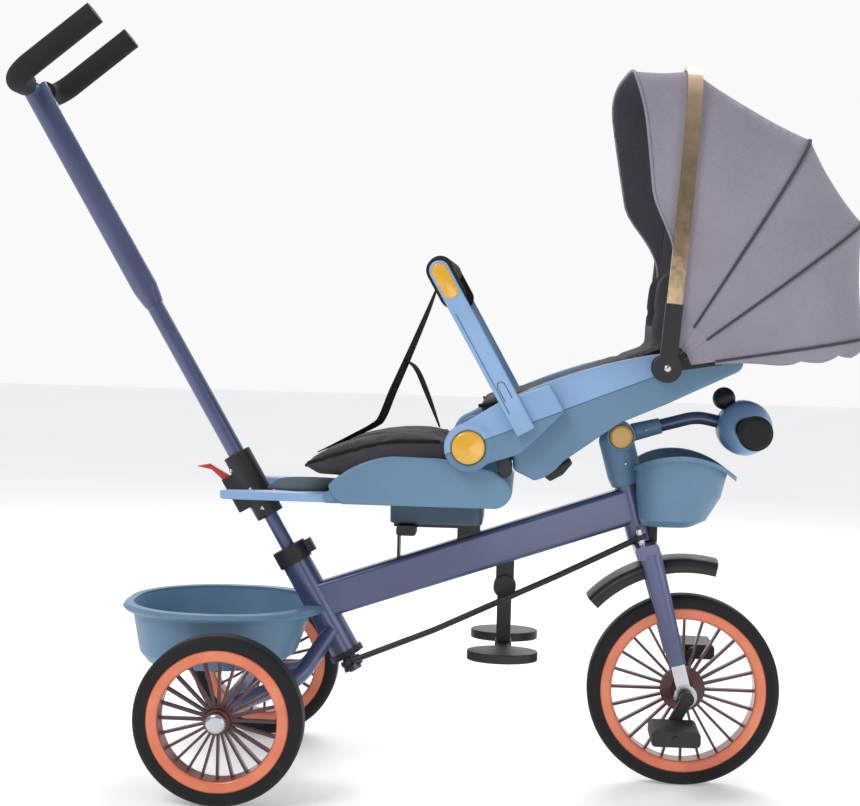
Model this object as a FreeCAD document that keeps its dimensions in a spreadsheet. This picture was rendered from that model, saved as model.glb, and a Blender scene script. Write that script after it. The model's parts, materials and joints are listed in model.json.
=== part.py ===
import FreeCAD, Part
import math
import os
import Sketcher
from FreeCAD import Placement, Rotation, Vector

# A children's push tricycle with a reversible, reclining seat, a canopy, two baskets and a parent's push bar.
# +X is the direction of travel, +Y the rider's left, +Z up. The wheels stand on Z = 0.
# In the sheet, every *_x is measured forward from the rear axle, and `spot` moves it to the part's own origin,
# which lies under the middle of the whole tricycle.

DIMENSIONS = {
    "axle_to_middle": 244.6, "wheelbase": 590, "track_half": 205,
    "front_wheel_radius": 127.5, "rear_wheel_radius": 107, "wheel_width": 38,
    "tyre_depth": 17.5, "tread_round": 9, "rim_depth": 15,
    "hub_radius": 16, "front_flange": 30, "rear_flange": 18, "hub_half": 20, "spoke_count": 24, "spoke_thick": 3.4, "spoke_wide": 9,
    "axle_radius": 6, "bore_play": 0.05, "axle_cap_radius": 13, "axle_half": 233,
    # steering head
    "steer_lean": 15.4, "fork_offset": 7, "head_radius": 17, "head_bore": 13, "steerer_radius": 10.5,
    "head_low": 206, "head_length": 92, "crown_low": 187, "crown_tall": 17, "crown_deep": 32,
    "leg_half_track": 52, "leg_top": 14, "leg_foot": 11, "leg_thin": 7, "leg_low": 42,
    "fender_radius": 178, "fender_drop": 18, "fender_half": 36, "fender_wall": 3,
    "fender_front": 77, "fender_rear": 137,
    "cover_radius": 23, "cover_low": 300, "cover_tall": 80, "stem_button_radius": 15,
    "socket_length": 55, "socket_radius": 12, "stem_radius": 8.4, "stem_apex": 104,
    "bar_x": 660, "bar_z": 479, "ball_radius": 36, "ball_half": 40, "bar_half": 145,
    "grip_radius": 14.5, "grip_flange": 19, "grip_start": 34,
    "basket_x": 516, "basket_reach": 128, "basket_half": 86, "basket_low": 348, "basket_tall": 82,
    "basket_wall": 3, "basket_lip": 5,
    # cranks and pedals
    "crank_length": 40, "crank_y": 74, "crank_thick": 9, "crank_wide": 15, "crank_lean": 62,
    "pedal_long": 62, "pedal_wide": 74, "pedal_tall": 20, "pin_radius": 4,
    # frame
    "beam_lean": 19.05, "beam_tall": 50, "beam_wide": 32, "beam_wall": 3, "beam_x": 306.7, "beam_z": 300.4,
    "beam_length": 441.8, "beam_round": 7,
    "column_lean": 30.4, "column_x": 136.5, "column_z": 162.5, "sleeve_radius": 20, "sleeve_bore": 17,
    "sleeve_length": 136, "column_radius": 9.5, "column_bore": 7.5, "column_top": 420, "column_tail": 30,
    "collar_radius": 23.5, "collar_tall": 24, "tie_radius": 11, "axle_tube_radius": 13, "axle_tube_half": 168,
    "rear_basket_x": -24, "rear_basket_long": 274, "rear_basket_wide": 292, "rear_basket_low": 146,
    "rear_basket_tall": 80, "rear_basket_wall": 3,
    # push bar
    "clamp_low": 209, "clamp_tall": 95, "clamp_radius": 19, "pole_radius": 11.5, "pole_bore": 9.6,
    "pole_top": 545, "upper_low": 532, "upper_top": 864, "upper_wide": 17, "upper_thin": 13,
    "handle_half": 108, "handle_reach": 132, "handle_rise": 38.9, "handle_tube": 11, "grip_foam": 15.5,
    "arm_reach": 35, "arm_thick": 5, "rod_radius": 4, "rod_eye": 8.5, "rod_eye_tall": 6, "rod_slack": 1.2,
    # seat
    "seat_x": 257, "base_long": 122, "base_wide": 120, "base_low": 342.3, "base_tall": 31.7, "turn_radius": 14,
    "seat_half": 140, "shell_wall": 5, "seat_hub_x": 300, "seat_hub_z": 452, "hub_ring_radius": 31,
    "hub_button_radius": 21, "hub_outer": 158, "cushion_half": 120,
    "leg_rest_thick": 11, "leg_rest_half": 122, "leg_rest_rail": 24, "leg_rest_tip": -21, "leg_rest_edge": 46,
    "leg_rest_root": 124, "leg_rest_z": 379.5,
    "ear_radius": 26, "hinge_pin": 8, "back_half": 136, "guard_thick": 10, "guard_wide": 26, "guard_face": 154,
    # canopy
    "canopy_x": 544, "canopy_z": 559, "canopy_half": 168, "rib_radius": 3, "bow_thick": 5, "bow_wide": 19,
    "cloth_thick": 2.4, "hub_disc_radius": 18,
    # child's footrest
    "footrest_x": 349, "footrest_z": 257, "knuckle_radius": 15, "post_drop": 72,
    "plate_long": 92, "plate_thick": 12, "plate_inner": 47, "plate_outer": 122,
}

doc = FreeCAD.newDocument("tricycle")
sheet = doc.addObject("Spreadsheet::Sheet", "Sizes")
for row, (alias, number) in enumerate(DIMENSIONS.items(), 1):
    sheet.set(f"A{row}", alias)
    sheet.set(f"B{row}", str(number))
    sheet.setAlias(f"B{row}", alias)
doc.recompute()

nodes = []
ACROSS = Rotation(Vector(1, 0, 0), -90)
STEER = Rotation(Vector(0, 1, 0), -sheet.get("steer_lean"))
COLUMN = Rotation(Vector(0, 1, 0), -sheet.get("column_lean"))


def size(alias):
    """A driving dimension, as a number."""
    return float(sheet.get(alias))


def value(expression):
    """What an expression over the sheet comes to."""
    return float(sheet.evalExpression(expression))


def spot(x, y, z):
    """A point whose x is measured forward from the rear axle, in the part's own frame."""
    return Vector(x - size("axle_to_middle"), y, z)


FRONT_AXLE = spot(size("wheelbase"), 0, size("front_wheel_radius"))
REAR_AXLE = spot(0, 0, size("rear_wheel_radius"))
STEER_FOOT = FRONT_AXLE - STEER.multVec(Vector(size("fork_offset"), 0, 0))
COLUMN_FOOT = spot(size("column_x"), 0, size("column_z"))


def on_steerer(along, forward=0.0, side=0.0):
    """A point given along the steering axis from its foot, ahead of it, and to the left of it."""
    return STEER_FOOT + STEER.multVec(Vector(forward, side, along))


def on_column(along, forward=0.0, side=0.0):
    """A point given along the push-bar column from the foot of its sleeve."""
    return COLUMN_FOOT + COLUMN.multVec(Vector(forward, side, along))


# ---------------------------------------------------------------- building blocks

def node(name, thing, place=None):
    """Names a finished sub-part and moves it to its place."""
    thing.Label = name
    if place is not None:
        thing.Placement = place
    nodes.append(thing)
    return thing


def primitive(kind, name, sizes, place=None):
    """A Part primitive whose sizes are bound to the sheet."""
    thing = doc.addObject("Part::" + kind, name)
    for prop, expression in sizes.items():
        thing.setExpression(prop, expression)
    if place is not None:
        thing.Placement = place
    return thing


def cylinder(name, radius, length, place=None):
    return primitive("Cylinder", name, {"Radius": radius, "Height": length}, place)


def cut(name, base, tool):
    thing = doc.addObject("Part::Cut", name)
    thing.Base = base
    thing.Tool = tool
    return thing


def fuse(name, *pieces):
    thing = doc.addObject("Part::MultiFuse", name)
    thing.Shapes = list(pieces)
    return thing


def group(name, *pieces):
    """Separate solids that share one node."""
    thing = doc.addObject("Part::Compound", name)
    thing.Links = list(pieces)
    return thing


def ring(name, outer, inner, length, place=None):
    """A round tube: one cylinder bored by another."""
    whole = cut(name, cylinder(name + "_outside", outer, length), cylinder(name + "_bore", inner, length))
    if place is not None:
        whole.Placement = place
    return whole


def feature(name, shape, place=None):
    thing = doc.addObject("Part::Feature", name)
    thing.Shape = shape
    if place is not None:
        thing.Placement = place
    return thing


def rounded(name, base, radius, pick):
    """Fillets the edges of `base` that `pick` chooses."""
    doc.recompute()
    thing = doc.addObject("Part::Fillet", name)
    thing.Base = base
    thing.Edges = [(i, radius, radius) for i, edge in enumerate(base.Shape.Edges, 1) if pick(edge)]
    return thing


def runs_along(axis):
    """Picks straight edges that run along an axis."""
    def pick(edge):
        if edge.Curve.TypeId != "Part::GeomLine":
            return False
        return abs(edge.tangentAt(edge.FirstParameter).dot(axis)) > 0.999
    return pick


def bulged_arc(start, end, radius, centre):
    """The arc from start to end that bulges away from centre."""
    middle = (start + end) * 0.5
    half = (end - start).Length / 2
    outward = Vector(0, 0, 1).cross(end - start).normalize()
    if outward.dot(middle - centre) < 0:
        outward = outward * -1
    rise = radius - math.sqrt(max(radius * radius - half * half, 0))
    return Part.Arc(start, middle + outward * rise, end)


def outline_sketch(body, name, plane_role, corners):
    """A closed outline. A corner is (x, y) in expressions; a third one makes the side after it an arc of that radius."""
    sketch = body.newObject("Sketcher::SketchObject", name)
    plane = next(f for f in body.Origin.OriginFeatures if f.Role == plane_role)
    sketch.AttachmentSupport = [(plane, "")]
    sketch.MapMode = "FlatFace"
    points = [Vector(value(c[0]), value(c[1]), 0) for c in corners]
    centre = sum(points, Vector()) * (1 / len(points))
    for i, corner in enumerate(corners):
        start, end = points[i], points[(i + 1) % len(points)]
        if len(corner) == 3:
            sketch.addGeometry(bulged_arc(start, end, value(corner[2]), centre))
        else:
            sketch.addGeometry(Part.LineSegment(start, end))
    for i, corner in enumerate(corners):
        bind_corner(sketch, i, corner, points[i])
    return sketch


def ends_of(sketch, i, point):
    """Which end of geometry i lies at a point: an arc may be stored the other way round."""
    start = sketch.Geometry[i].StartPoint
    return (1, 2) if (start - point).Length < 1e-6 else (2, 1)


def bind_corner(sketch, i, corner, point):
    """Ties a corner to the sheet and joins it to the side before it."""
    here = ends_of(sketch, i, point)[0]
    before = (i - 1) % len(sketch.Geometry)
    there = ends_of(sketch, before, point)[0]
    sketch.addConstraint(Sketcher.Constraint("Coincident", before, there, i, here))
    for kind, expression, number in (("DistanceX", corner[0], point.x), ("DistanceY", corner[1], point.y)):
        at = sketch.addConstraint(Sketcher.Constraint(kind, -1, 1, i, here, number))
        if "Sizes." in expression:
            sketch.setExpression(f"Constraints[{at}]", expression)
    if len(corner) == 3:
        at = sketch.addConstraint(Sketcher.Constraint("Radius", i, value(corner[2])))
        if "Sizes." in corner[2]:
            sketch.setExpression(f"Constraints[{at}]", corner[2])


def revolved(name, corners, place=None, body=None):
    """A PartDesign body turned about its own Z axis. Corners are (radius, height)."""
    body = body or doc.addObject("PartDesign::Body", name)
    sketch = outline_sketch(body, name + "_outline", "XZ_Plane", corners)
    turned = body.newObject("PartDesign::Revolution", name + "_turned")
    turned.Profile = sketch
    turned.ReferenceAxis = (sketch, ["V_Axis"])
    turned.Angle = 360
    sketch.Visibility = False
    if place is not None:
        body.Placement = place
    return body


def padded(name, plane_role, corners, length, place=None, middle=True):
    """A PartDesign body made from an outline by a pad, equally both ways unless told otherwise."""
    body = doc.addObject("PartDesign::Body", name)
    sketch = outline_sketch(body, name + "_outline", plane_role, corners)
    pad = body.newObject("PartDesign::Pad", name + "_pad")
    pad.Profile = sketch
    pad.setExpression("Length", length)
    pad.Midplane = middle
    if place is not None:
        body.Placement = place
    return body


def path_wire(points, bend):
    """Straight runs joined by tangent arcs of one radius."""
    points = [Vector(p) for p in points]
    edges, start = [], points[0]
    for before, corner, after in zip(points, points[1:], points[2:]):
        back = (before - corner).normalize()
        ahead = (after - corner).normalize()
        half = back.getAngle(ahead) / 2
        reach = bend / math.tan(half)
        middle = (back + ahead).normalize()
        centre = corner + middle * (bend / math.sin(half))
        edges.append(Part.makeLine(start, corner + back * reach))
        edges.append(Part.Arc(corner + back * reach, centre - middle * bend, corner + ahead * reach).toShape())
        start = corner + ahead * reach
    edges.append(Part.makeLine(start, points[-1]))
    return Part.Wire(edges)


def bent_bar(name, points, radius, bend=20.0):
    """A round bar along a bent path: a circle from the sheet swept along the path."""
    path = feature(name + "_path", path_wire(points, bend))
    section = primitive("Circle", name + "_section", {"Radius": radius})
    ahead = Vector(points[1]) - Vector(points[0])
    section.Placement = Placement(Vector(points[0]), Rotation(Vector(0, 0, 1), ahead))
    sweep = doc.addObject("Part::Sweep", name)
    sweep.Sections = [section]
    sweep.Spine = (path, [f"Edge{i + 1}" for i in range(len(path.Shape.Edges))])
    sweep.Solid = True
    return sweep


def loft(name, sections, ruled=False):
    thing = doc.addObject("Part::Loft", name)
    thing.Sections = sections
    thing.Solid = True
    thing.Ruled = ruled
    return thing


def ellipse(name, major, minor, place):
    return primitive("Ellipse", name, {"MajorRadius": major, "MinorRadius": minor}, place)


def rounded_rectangle(name, length, width, radius, centre):
    """A level wire with four round corners."""
    dx, dy = length / 2 - radius, width / 2 - radius
    edges = []
    for i, (sx, sy) in enumerate(((1, 1), (-1, 1), (-1, -1), (1, -1))):
        middle = centre + Vector(sx * dx, sy * dy, 0)
        edges.append(Part.makeCircle(radius, middle, Vector(0, 0, 1), 90 * i, 90 * (i + 1)))
    joined = []
    for i, arc in enumerate(edges):
        joined.append(arc)
        following = edges[(i + 1) % 4]
        joined.append(Part.makeLine(arc.Vertexes[-1].Point, following.Vertexes[0].Point))
    return feature(name, Part.Wire(joined))


# ---------------------------------------------------------------- wheels

def wheel(prefix, centre, radius, flange):
    """A tyre and a one-piece moulded wheel with a deep rim, blade spokes and a flanged hub."""
    seat = f"Sizes.{radius} - Sizes.tyre_depth"
    half = "Sizes.wheel_width / 2"
    place = Placement(centre, ACROSS)
    tyre = revolved(prefix + "_tyre", [
        (seat, f"2 - {half}"),
        (f"Sizes.{radius} - Sizes.tread_round", f"-{half}", "Sizes.tread_round"),
        (f"Sizes.{radius}", f"Sizes.tread_round - {half}"),
        (f"Sizes.{radius}", f"{half} - Sizes.tread_round", "Sizes.tread_round"),
        (f"Sizes.{radius} - Sizes.tread_round", half),
        (seat, f"{half} - 2"),
    ])
    node(prefix + "_tyre", tyre, place)
    rim = f"{seat} - Sizes.rim_depth"
    moulding = revolved(prefix + "_wheel", [
        (rim, f"4 - {half}", "5"),
        (f"{rim} + 5", f"1 - {half}"),
        (f"{seat} - 2", f"1 - {half}"),
        (seat, f"3 - {half}"),
        (seat, f"{half} - 3"),
        (f"{seat} - 2", f"{half} - 1"),
        (f"{rim} + 5", f"{half} - 1", "5"),
        (rim, f"{half} - 4"),
    ])
    revolved(prefix + "_hub", [
        ("Sizes.axle_radius + Sizes.bore_play", "-Sizes.hub_half"),
        ("Sizes.hub_radius", "-Sizes.hub_half"),
        ("Sizes.hub_radius", "-Sizes.spoke_wide / 2 - 2"),
        (f"Sizes.{flange}", "-Sizes.spoke_wide / 2"),
        (f"Sizes.{flange}", "Sizes.spoke_wide / 2"),
        ("Sizes.hub_radius", "Sizes.spoke_wide / 2 + 2"),
        ("Sizes.hub_radius", "Sizes.hub_half"),
        ("Sizes.axle_radius + Sizes.bore_play", "Sizes.hub_half"),
    ], body=moulding)
    sketch = outline_sketch(moulding, prefix + "_blade_outline", "XY_Plane", [
        (f"Sizes.{flange} - 2", "-Sizes.spoke_thick / 2"),
        (f"{rim} + 2", "-Sizes.spoke_thick / 2"),
        (f"{rim} + 2", "Sizes.spoke_thick / 2"),
        (f"Sizes.{flange} - 2", "Sizes.spoke_thick / 2"),
    ])
    blade = moulding.newObject("PartDesign::Pad", prefix + "_blade")
    blade.Profile = sketch
    blade.setExpression("Length", "Sizes.spoke_wide")
    blade.Midplane = True
    doc.recompute()
    blades = moulding.newObject("PartDesign::PolarPattern", prefix + "_blades")
    blades.Originals = [blade]
    blades.Axis = (sketch, ["N_Axis"])
    blades.Angle = 360
    blades.Occurrences = int(size("spoke_count"))
    moulding.Tip = blades
    node(prefix + "_wheel", moulding, place)


def make_wheels():
    wheel("front", FRONT_AXLE, "front_wheel_radius", "front_flange")
    wheel("rear_left", REAR_AXLE + Vector(0, size("track_half"), 0), "rear_wheel_radius", "rear_flange")
    wheel("rear_right", REAR_AXLE - Vector(0, size("track_half"), 0), "rear_wheel_radius", "rear_flange")


# ---------------------------------------------------------------- frame

def make_beam():
    """The box-section beam, fish-mouthed to the column sleeve and the head tube."""
    middle = spot(size("beam_x"), 0, size("beam_z"))
    lean = Rotation(Vector(0, 1, 0), -size("beam_lean"))
    wall = "Sizes.beam_wall"
    outside = primitive("Box", "beam_outside", {
        "Length": "Sizes.beam_length", "Width": "Sizes.beam_wide", "Height": "Sizes.beam_tall"})
    smooth = rounded("beam_rounded", outside, size("beam_round"), runs_along(Vector(1, 0, 0)))
    inside = primitive("Box", "beam_inside", {
        "Length": "Sizes.beam_length", "Width": f"Sizes.beam_wide - 2 * {wall}",
        "Height": f"Sizes.beam_tall - 2 * {wall}"})
    inside.Placement.Base = Vector(0, size("beam_wall"), size("beam_wall"))
    tube = cut("beam_tube", smooth, inside)
    corner = Vector(-size("beam_length") / 2, -size("beam_wide") / 2, -size("beam_tall") / 2)
    tube.Placement = Placement(middle + lean.multVec(corner), lean)
    sleeve = cylinder("beam_sleeve_mouth", "Sizes.sleeve_radius", "Sizes.sleeve_length * 2",
                      Placement(on_column(-40), COLUMN))
    head = cylinder("beam_head_mouth", "Sizes.head_radius", "Sizes.head_length * 2",
                    Placement(on_steerer(size("head_low") - 40), STEER))
    node("main_beam", cut("main_beam", cut("beam_rear_cut", tube, sleeve), head))


def make_tubes():
    """The steering head tube and the sleeve that carries the push-bar column."""
    node("head_tube", ring("head_tube", "Sizes.head_radius", "Sizes.head_bore", "Sizes.head_length"),
         Placement(on_steerer(size("head_low")), STEER))
    node("column_sleeve", ring("column_sleeve", "Sizes.sleeve_radius", "Sizes.sleeve_bore", "Sizes.sleeve_length"),
         Placement(COLUMN_FOOT, COLUMN))


def make_rear_frame():
    """Two tie bars spread from the sleeve to the cross tube that holds the axle."""
    bars = []
    for side in (-1, 1):
        bars.append(bent_bar(f"tie_bar_{'right' if side < 0 else 'left'}", [
            on_column(34, 0, side * 13),
            spot(78, side * 40, 127),
            spot(0, side * 128, size("rear_wheel_radius")),
        ], "Sizes.tie_radius", 60))
    tube = cylinder("axle_tube", "Sizes.axle_tube_radius", "2 * Sizes.axle_tube_half",
                    Placement(REAR_AXLE - Vector(0, size("axle_tube_half"), 0), ACROSS))
    bore = cylinder("axle_tube_bore", "Sizes.axle_radius", "2 * Sizes.axle_half",
                    Placement(REAR_AXLE - Vector(0, size("axle_half"), 0), ACROSS))
    clear = cylinder("sleeve_space", "Sizes.sleeve_radius", "Sizes.sleeve_length",
                     Placement(COLUMN_FOOT, COLUMN))
    whole = cut("rear_frame_bored", fuse("rear_frame_whole", *bars, tube), bore)
    node("rear_frame", cut("rear_frame", whole, clear))


def make_rear_axle():
    """The steel axle with a domed push cap on each end."""
    rod = cylinder("rear_axle_rod", "Sizes.axle_radius", "2 * Sizes.axle_half",
                   Placement(REAR_AXLE - Vector(0, size("axle_half"), 0), ACROSS))
    caps = []
    for side, turn in ((-1, 90), (1, -90)):
        caps.append(revolved(f"axle_cap_{'right' if side < 0 else 'left'}", [
            ("0", "0"), ("Sizes.axle_cap_radius", "0"), ("Sizes.axle_cap_radius", "3", "5"),
            ("Sizes.axle_cap_radius - 4", "7"), ("0", "7"),
        ], Placement(REAR_AXLE + Vector(0, side * (size("axle_half") - 5), 0), Rotation(Vector(1, 0, 0), turn))))
    rod_cut = cut("rear_axle_cut", cut("rear_axle_cut_one", rod, caps[0]), caps[1])
    node("rear_axle", group("rear_axle", rod_cut, *caps))


def make_brackets():
    """The saddle bracket under the seat and the lug that the child's footrest hangs from."""
    top = value("Sizes.base_low - 6.3")
    plate = primitive("Box", "seat_plate", {"Length": "Sizes.base_long - 8", "Width": "Sizes.beam_wide + 30"})
    plate.Height = 5.5
    plate.Placement.Base = spot(size("seat_x") - value("Sizes.base_long - 8") / 2,
                                -value("Sizes.beam_wide + 30") / 2, top)
    foot = primitive("Box", "seat_foot", {"Width": "Sizes.beam_wide"})
    foot.Length = 30
    foot.Height = 40
    foot.Placement.Base = spot(284, -size("beam_wide") / 2, top - 36)
    stay = primitive("Box", "seat_stay", {"Width": "Sizes.beam_wide"})
    stay.Length = 3
    stay.Height = 62
    stay.Placement.Base = spot(204, -size("beam_wide") / 2, top - 60)
    beam = primitive("Box", "beam_space", {
        "Length": "Sizes.beam_length", "Width": "Sizes.beam_wide + 8", "Height": "Sizes.beam_tall"})
    lean = Rotation(Vector(0, 1, 0), -size("beam_lean"))
    corner = Vector(-size("beam_length") / 2, -size("beam_wide") / 2 - 4, -size("beam_tall") / 2)
    beam.Placement = Placement(spot(size("beam_x"), 0, size("beam_z")) + lean.multVec(corner), lean)
    turn_hole = cylinder("turn_hole", "Sizes.turn_radius + Sizes.bore_play", "20",
                         Placement(spot(size("seat_x"), 0, top - 7), Rotation()))
    saddle = cut("seat_bracket", cut("seat_bracket_over_beam", fuse("seat_bracket_whole", plate, foot, stay), beam),
                 turn_hole)
    lug = primitive("Box", "lug_plate", {})
    lug.Length, lug.Width, lug.Height = 24, 12, 44
    lug.Placement.Base = spot(size("footrest_x") - 12, -6, size("footrest_z") - 10)
    bore = cylinder("lug_bore", "Sizes.pin_radius", "40",
                    Placement(spot(size("footrest_x"), -20, size("footrest_z")), ACROSS))
    lug_cut = cut("footrest_lug", cut("footrest_lug_top", lug, beam), bore)
    node("beam_brackets", group("beam_brackets", saddle, lug_cut))


def make_collars():
    """Flanged bearing collars at both ends of the sleeve, and the bushes in the head tube."""
    place_low = Placement(on_column(-8), COLUMN)
    place_top = Placement(on_column(size("sleeve_length")), COLUMN)
    bore = "Sizes.column_radius + Sizes.bore_play"
    low = ring("sleeve_collar_low", "Sizes.collar_radius", bore, "8", place_low)
    top = ring("sleeve_collar_top", "Sizes.collar_radius", bore, "Sizes.collar_tall", place_top)
    ear = primitive("Box", "collar_ear", {"Height": "Sizes.collar_tall - 6"})
    ear.Length, ear.Width = 14, 14
    ear.Placement = Placement(on_column(size("sleeve_length") + 3, 18, -7), COLUMN)
    hole = cylinder("collar_ear_space", bore, "60", Placement(on_column(size("sleeve_length") - 10), COLUMN))
    top_eared = cut("sleeve_collar_eared", fuse("sleeve_collar_whole", top, ear), hole)
    spigot_low = ring("spigot_low", "Sizes.sleeve_bore", bore, "18", Placement(COLUMN_FOOT, COLUMN))
    spigot_top = ring("spigot_top", "Sizes.sleeve_bore", bore, "18",
                      Placement(on_column(size("sleeve_length") - 18), COLUMN))
    bushes = []
    for name, along in (("head_bush_low", 0), ("head_bush_top", size("head_length") - 16)):
        bushes.append(ring(name, "Sizes.head_bore", "Sizes.steerer_radius + Sizes.bore_play", "16",
                           Placement(on_steerer(size("head_low") + along), STEER)))
    node("bearing_collars", group(
        "bearing_collars", fuse("collar_low_whole", low, spigot_low),
        fuse("collar_top_whole", top_eared, spigot_top), *bushes))


def make_rear_basket():
    """An oval tub with a rolled rim, notched where the column passes."""
    middle = spot(size("rear_basket_x"), 0, size("rear_basket_low"))
    long, wide = size("rear_basket_long"), size("rear_basket_wide")
    tall, wall = size("rear_basket_tall"), size("rear_basket_wall")
    up = Vector(0, 0, 1)
    low_in = Vector(-14, 0, 0)

    def section(name, drop, height, corner):
        return rounded_rectangle(name, long - drop, wide - drop, corner, middle + up * height + low_in * (drop / 90))

    outer = loft("tub_outside", [section("tub_a", 96, 0, 84), section("tub_b", 66, 14, 96),
                                 section("tub_c", 34, tall - 4, 112)], True)
    inner = loft("tub_inside", [section("tub_d", 102, wall, 80), section("tub_e", 72, 14 + wall, 92),
                                section("tub_f", 40, tall + 4, 108)], True)
    rim = loft("tub_rim", [section("rim_a", 10, tall - 9, 122), section("rim_b", 0, tall - 5, 127),
                           section("rim_c", 10, tall, 122)], True)
    rim_hole = loft("tub_rim_hole", [section("rim_d", 40, tall - 12, 108), section("rim_e", 40, tall + 5, 108)], True)
    rolled = cut("tub_rim_open", rim, rim_hole)
    tub = fuse("tub_whole", cut("tub_shell", outer, inner), rolled)
    notch = cylinder("tub_notch", "Sizes.collar_radius + 6", "200", Placement(on_column(-20), COLUMN))
    node("rear_basket", cut("rear_basket", tub, notch))


# ---------------------------------------------------------------- fork and handlebar

def make_fork():
    """Two tapered oval legs, a crown and the steerer, all on the steering axis."""
    legs = []
    for side, name in ((-1, "right"), (1, "left")):
        y = side * size("leg_half_track")
        top = ellipse(f"leg_top_{name}", "Sizes.leg_top", "Sizes.leg_thin + 1",
                      Placement(Vector(size("fork_offset"), y, size("crown_low") + 4), Rotation()))
        foot = ellipse(f"leg_foot_{name}", "Sizes.leg_foot", "Sizes.leg_thin",
                       Placement(Vector(size("fork_offset"), y, size("leg_low")), Rotation()))
        legs.append(loft(f"leg_{name}", [foot, top]))
    crown = primitive("Box", "crown_block", {"Length": "Sizes.crown_deep", "Height": "Sizes.crown_tall",
                                             "Width": "2 * (Sizes.leg_half_track + Sizes.leg_thin)"})
    crown.Placement.Base = Vector(-size("crown_deep") / 2 + 4, -value("Sizes.leg_half_track + Sizes.leg_thin"),
                                  size("crown_low"))
    soft = rounded("crown_rounded", crown, 5, runs_along(Vector(0, 1, 0)))
    steerer = cylinder("steerer", "Sizes.steerer_radius", "Sizes.cover_low + 20 - Sizes.crown_low")
    steerer.Placement.Base = Vector(0, 0, size("crown_low"))
    node("fork", fuse("fork", soft, steerer, *legs), Placement(STEER_FOOT, STEER))


def make_fork_fittings():
    """Plated drop-outs at the legs' ends, and the pin on the crown that the steering rod drives."""
    drops = []
    for side, name in ((-1, "right"), (1, "left")):
        tab = primitive("Box", f"dropout_tab_{name}", {"Width": "Sizes.leg_thin"})
        tab.Length, tab.Height = 18, 46
        tab.Placement.Base = Vector(size("fork_offset") - 9, side * size("leg_half_track") - 3.5, -2)
        boss = cylinder(f"dropout_boss_{name}", "Sizes.axle_radius + 9", "Sizes.leg_thin + 2")
        boss.Placement = Placement(Vector(size("fork_offset"), side * size("leg_half_track") - 4.5, 0), ACROSS)
        hole = cylinder(f"dropout_hole_{name}", "Sizes.axle_radius + Sizes.bore_play", "20")
        hole.Placement = Placement(Vector(size("fork_offset"), side * size("leg_half_track") - 10, 0), ACROSS)
        whole = cut(f"dropout_{name}", fuse(f"dropout_whole_{name}", tab, boss), hole)
        leg = doc.getObject(f"leg_{name}")
        drops.append(cut(f"dropout_clear_{name}", whole, leg))
    pin = cylinder("crown_pin", "Sizes.pin_radius", "3.5 * Sizes.rod_eye_tall",
                   Placement(Vector(0, -size("arm_reach"), value("Sizes.crown_low + Sizes.crown_tall")), Rotation()))
    node("fork_fittings", group("fork_fittings", *drops, pin), Placement(STEER_FOOT, STEER))


def make_fender():
    """A short mudguard over the front wheel: an arc of a channel, pointed at its rear end."""
    outer, drop, wall = size("fender_radius"), size("fender_drop"), size("fender_wall")
    half = size("fender_half")
    skin = revolved("fender_skin", [
        (str(outer - drop), str(-half)), (str(outer - 10), str(-half), "12"), (str(outer), str(10 - half), "180"),
        (str(outer), str(half - 10), "12"), (str(outer - 10), str(half)), (str(outer - drop), str(half)),
        (str(outer - drop), str(half - wall)), (str(outer - wall - 6), str(half - wall)),
        (str(outer - wall), str(half - wall - 8)), (str(outer - wall), str(wall + 8 - half)),
        (str(outer - wall - 6), str(wall - half)), (str(outer - drop), str(wall - half)),
    ], Placement(Vector(), ACROSS))
    front, rear = math.radians(size("fender_front")), math.radians(size("fender_rear"))
    reach = outer + 60
    wedge = Part.Face(Part.makePolygon([
        Vector(0, 0, 0),
        Vector(math.cos(front), 0, math.sin(front)) * reach,
        Vector(math.cos((front + rear) / 2), 0, math.sin((front + rear) / 2)) * (reach * 1.2),
        Vector(math.cos(rear), 0, math.sin(rear)) * reach,
        Vector(0, 0, 0)]))
    wedge.translate(Vector(0, -half * 2, 0))
    sector = feature("fender_sector", wedge.extrude(Vector(0, half * 4, 0)))
    arc = doc.addObject("Part::Common", "fender_arc")
    arc.Base = skin
    arc.Tool = sector
    boss_low = outer - wall
    boss = cylinder("fender_boss", "9", str(size("crown_low") - boss_low),
                    Placement(STEER.multVec(Vector(-size("fork_offset"), 0, boss_low)), STEER))
    node("front_fender", fuse("front_fender", arc, boss), Placement(FRONT_AXLE, Rotation()))


STEM_PIVOT = Vector(7, 0, 349)
STEM_TILT = 15.6


def stem_start(along):
    """A place along the stem's first run, which rises gently out of the cover's barrel."""
    ahead = Rotation(Vector(0, 1, 0), 90 - STEM_TILT)
    return Placement(on_steerer(STEM_PIVOT.z, STEM_PIVOT.x) + ahead.multVec(Vector(0, 0, along)), ahead)


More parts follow.
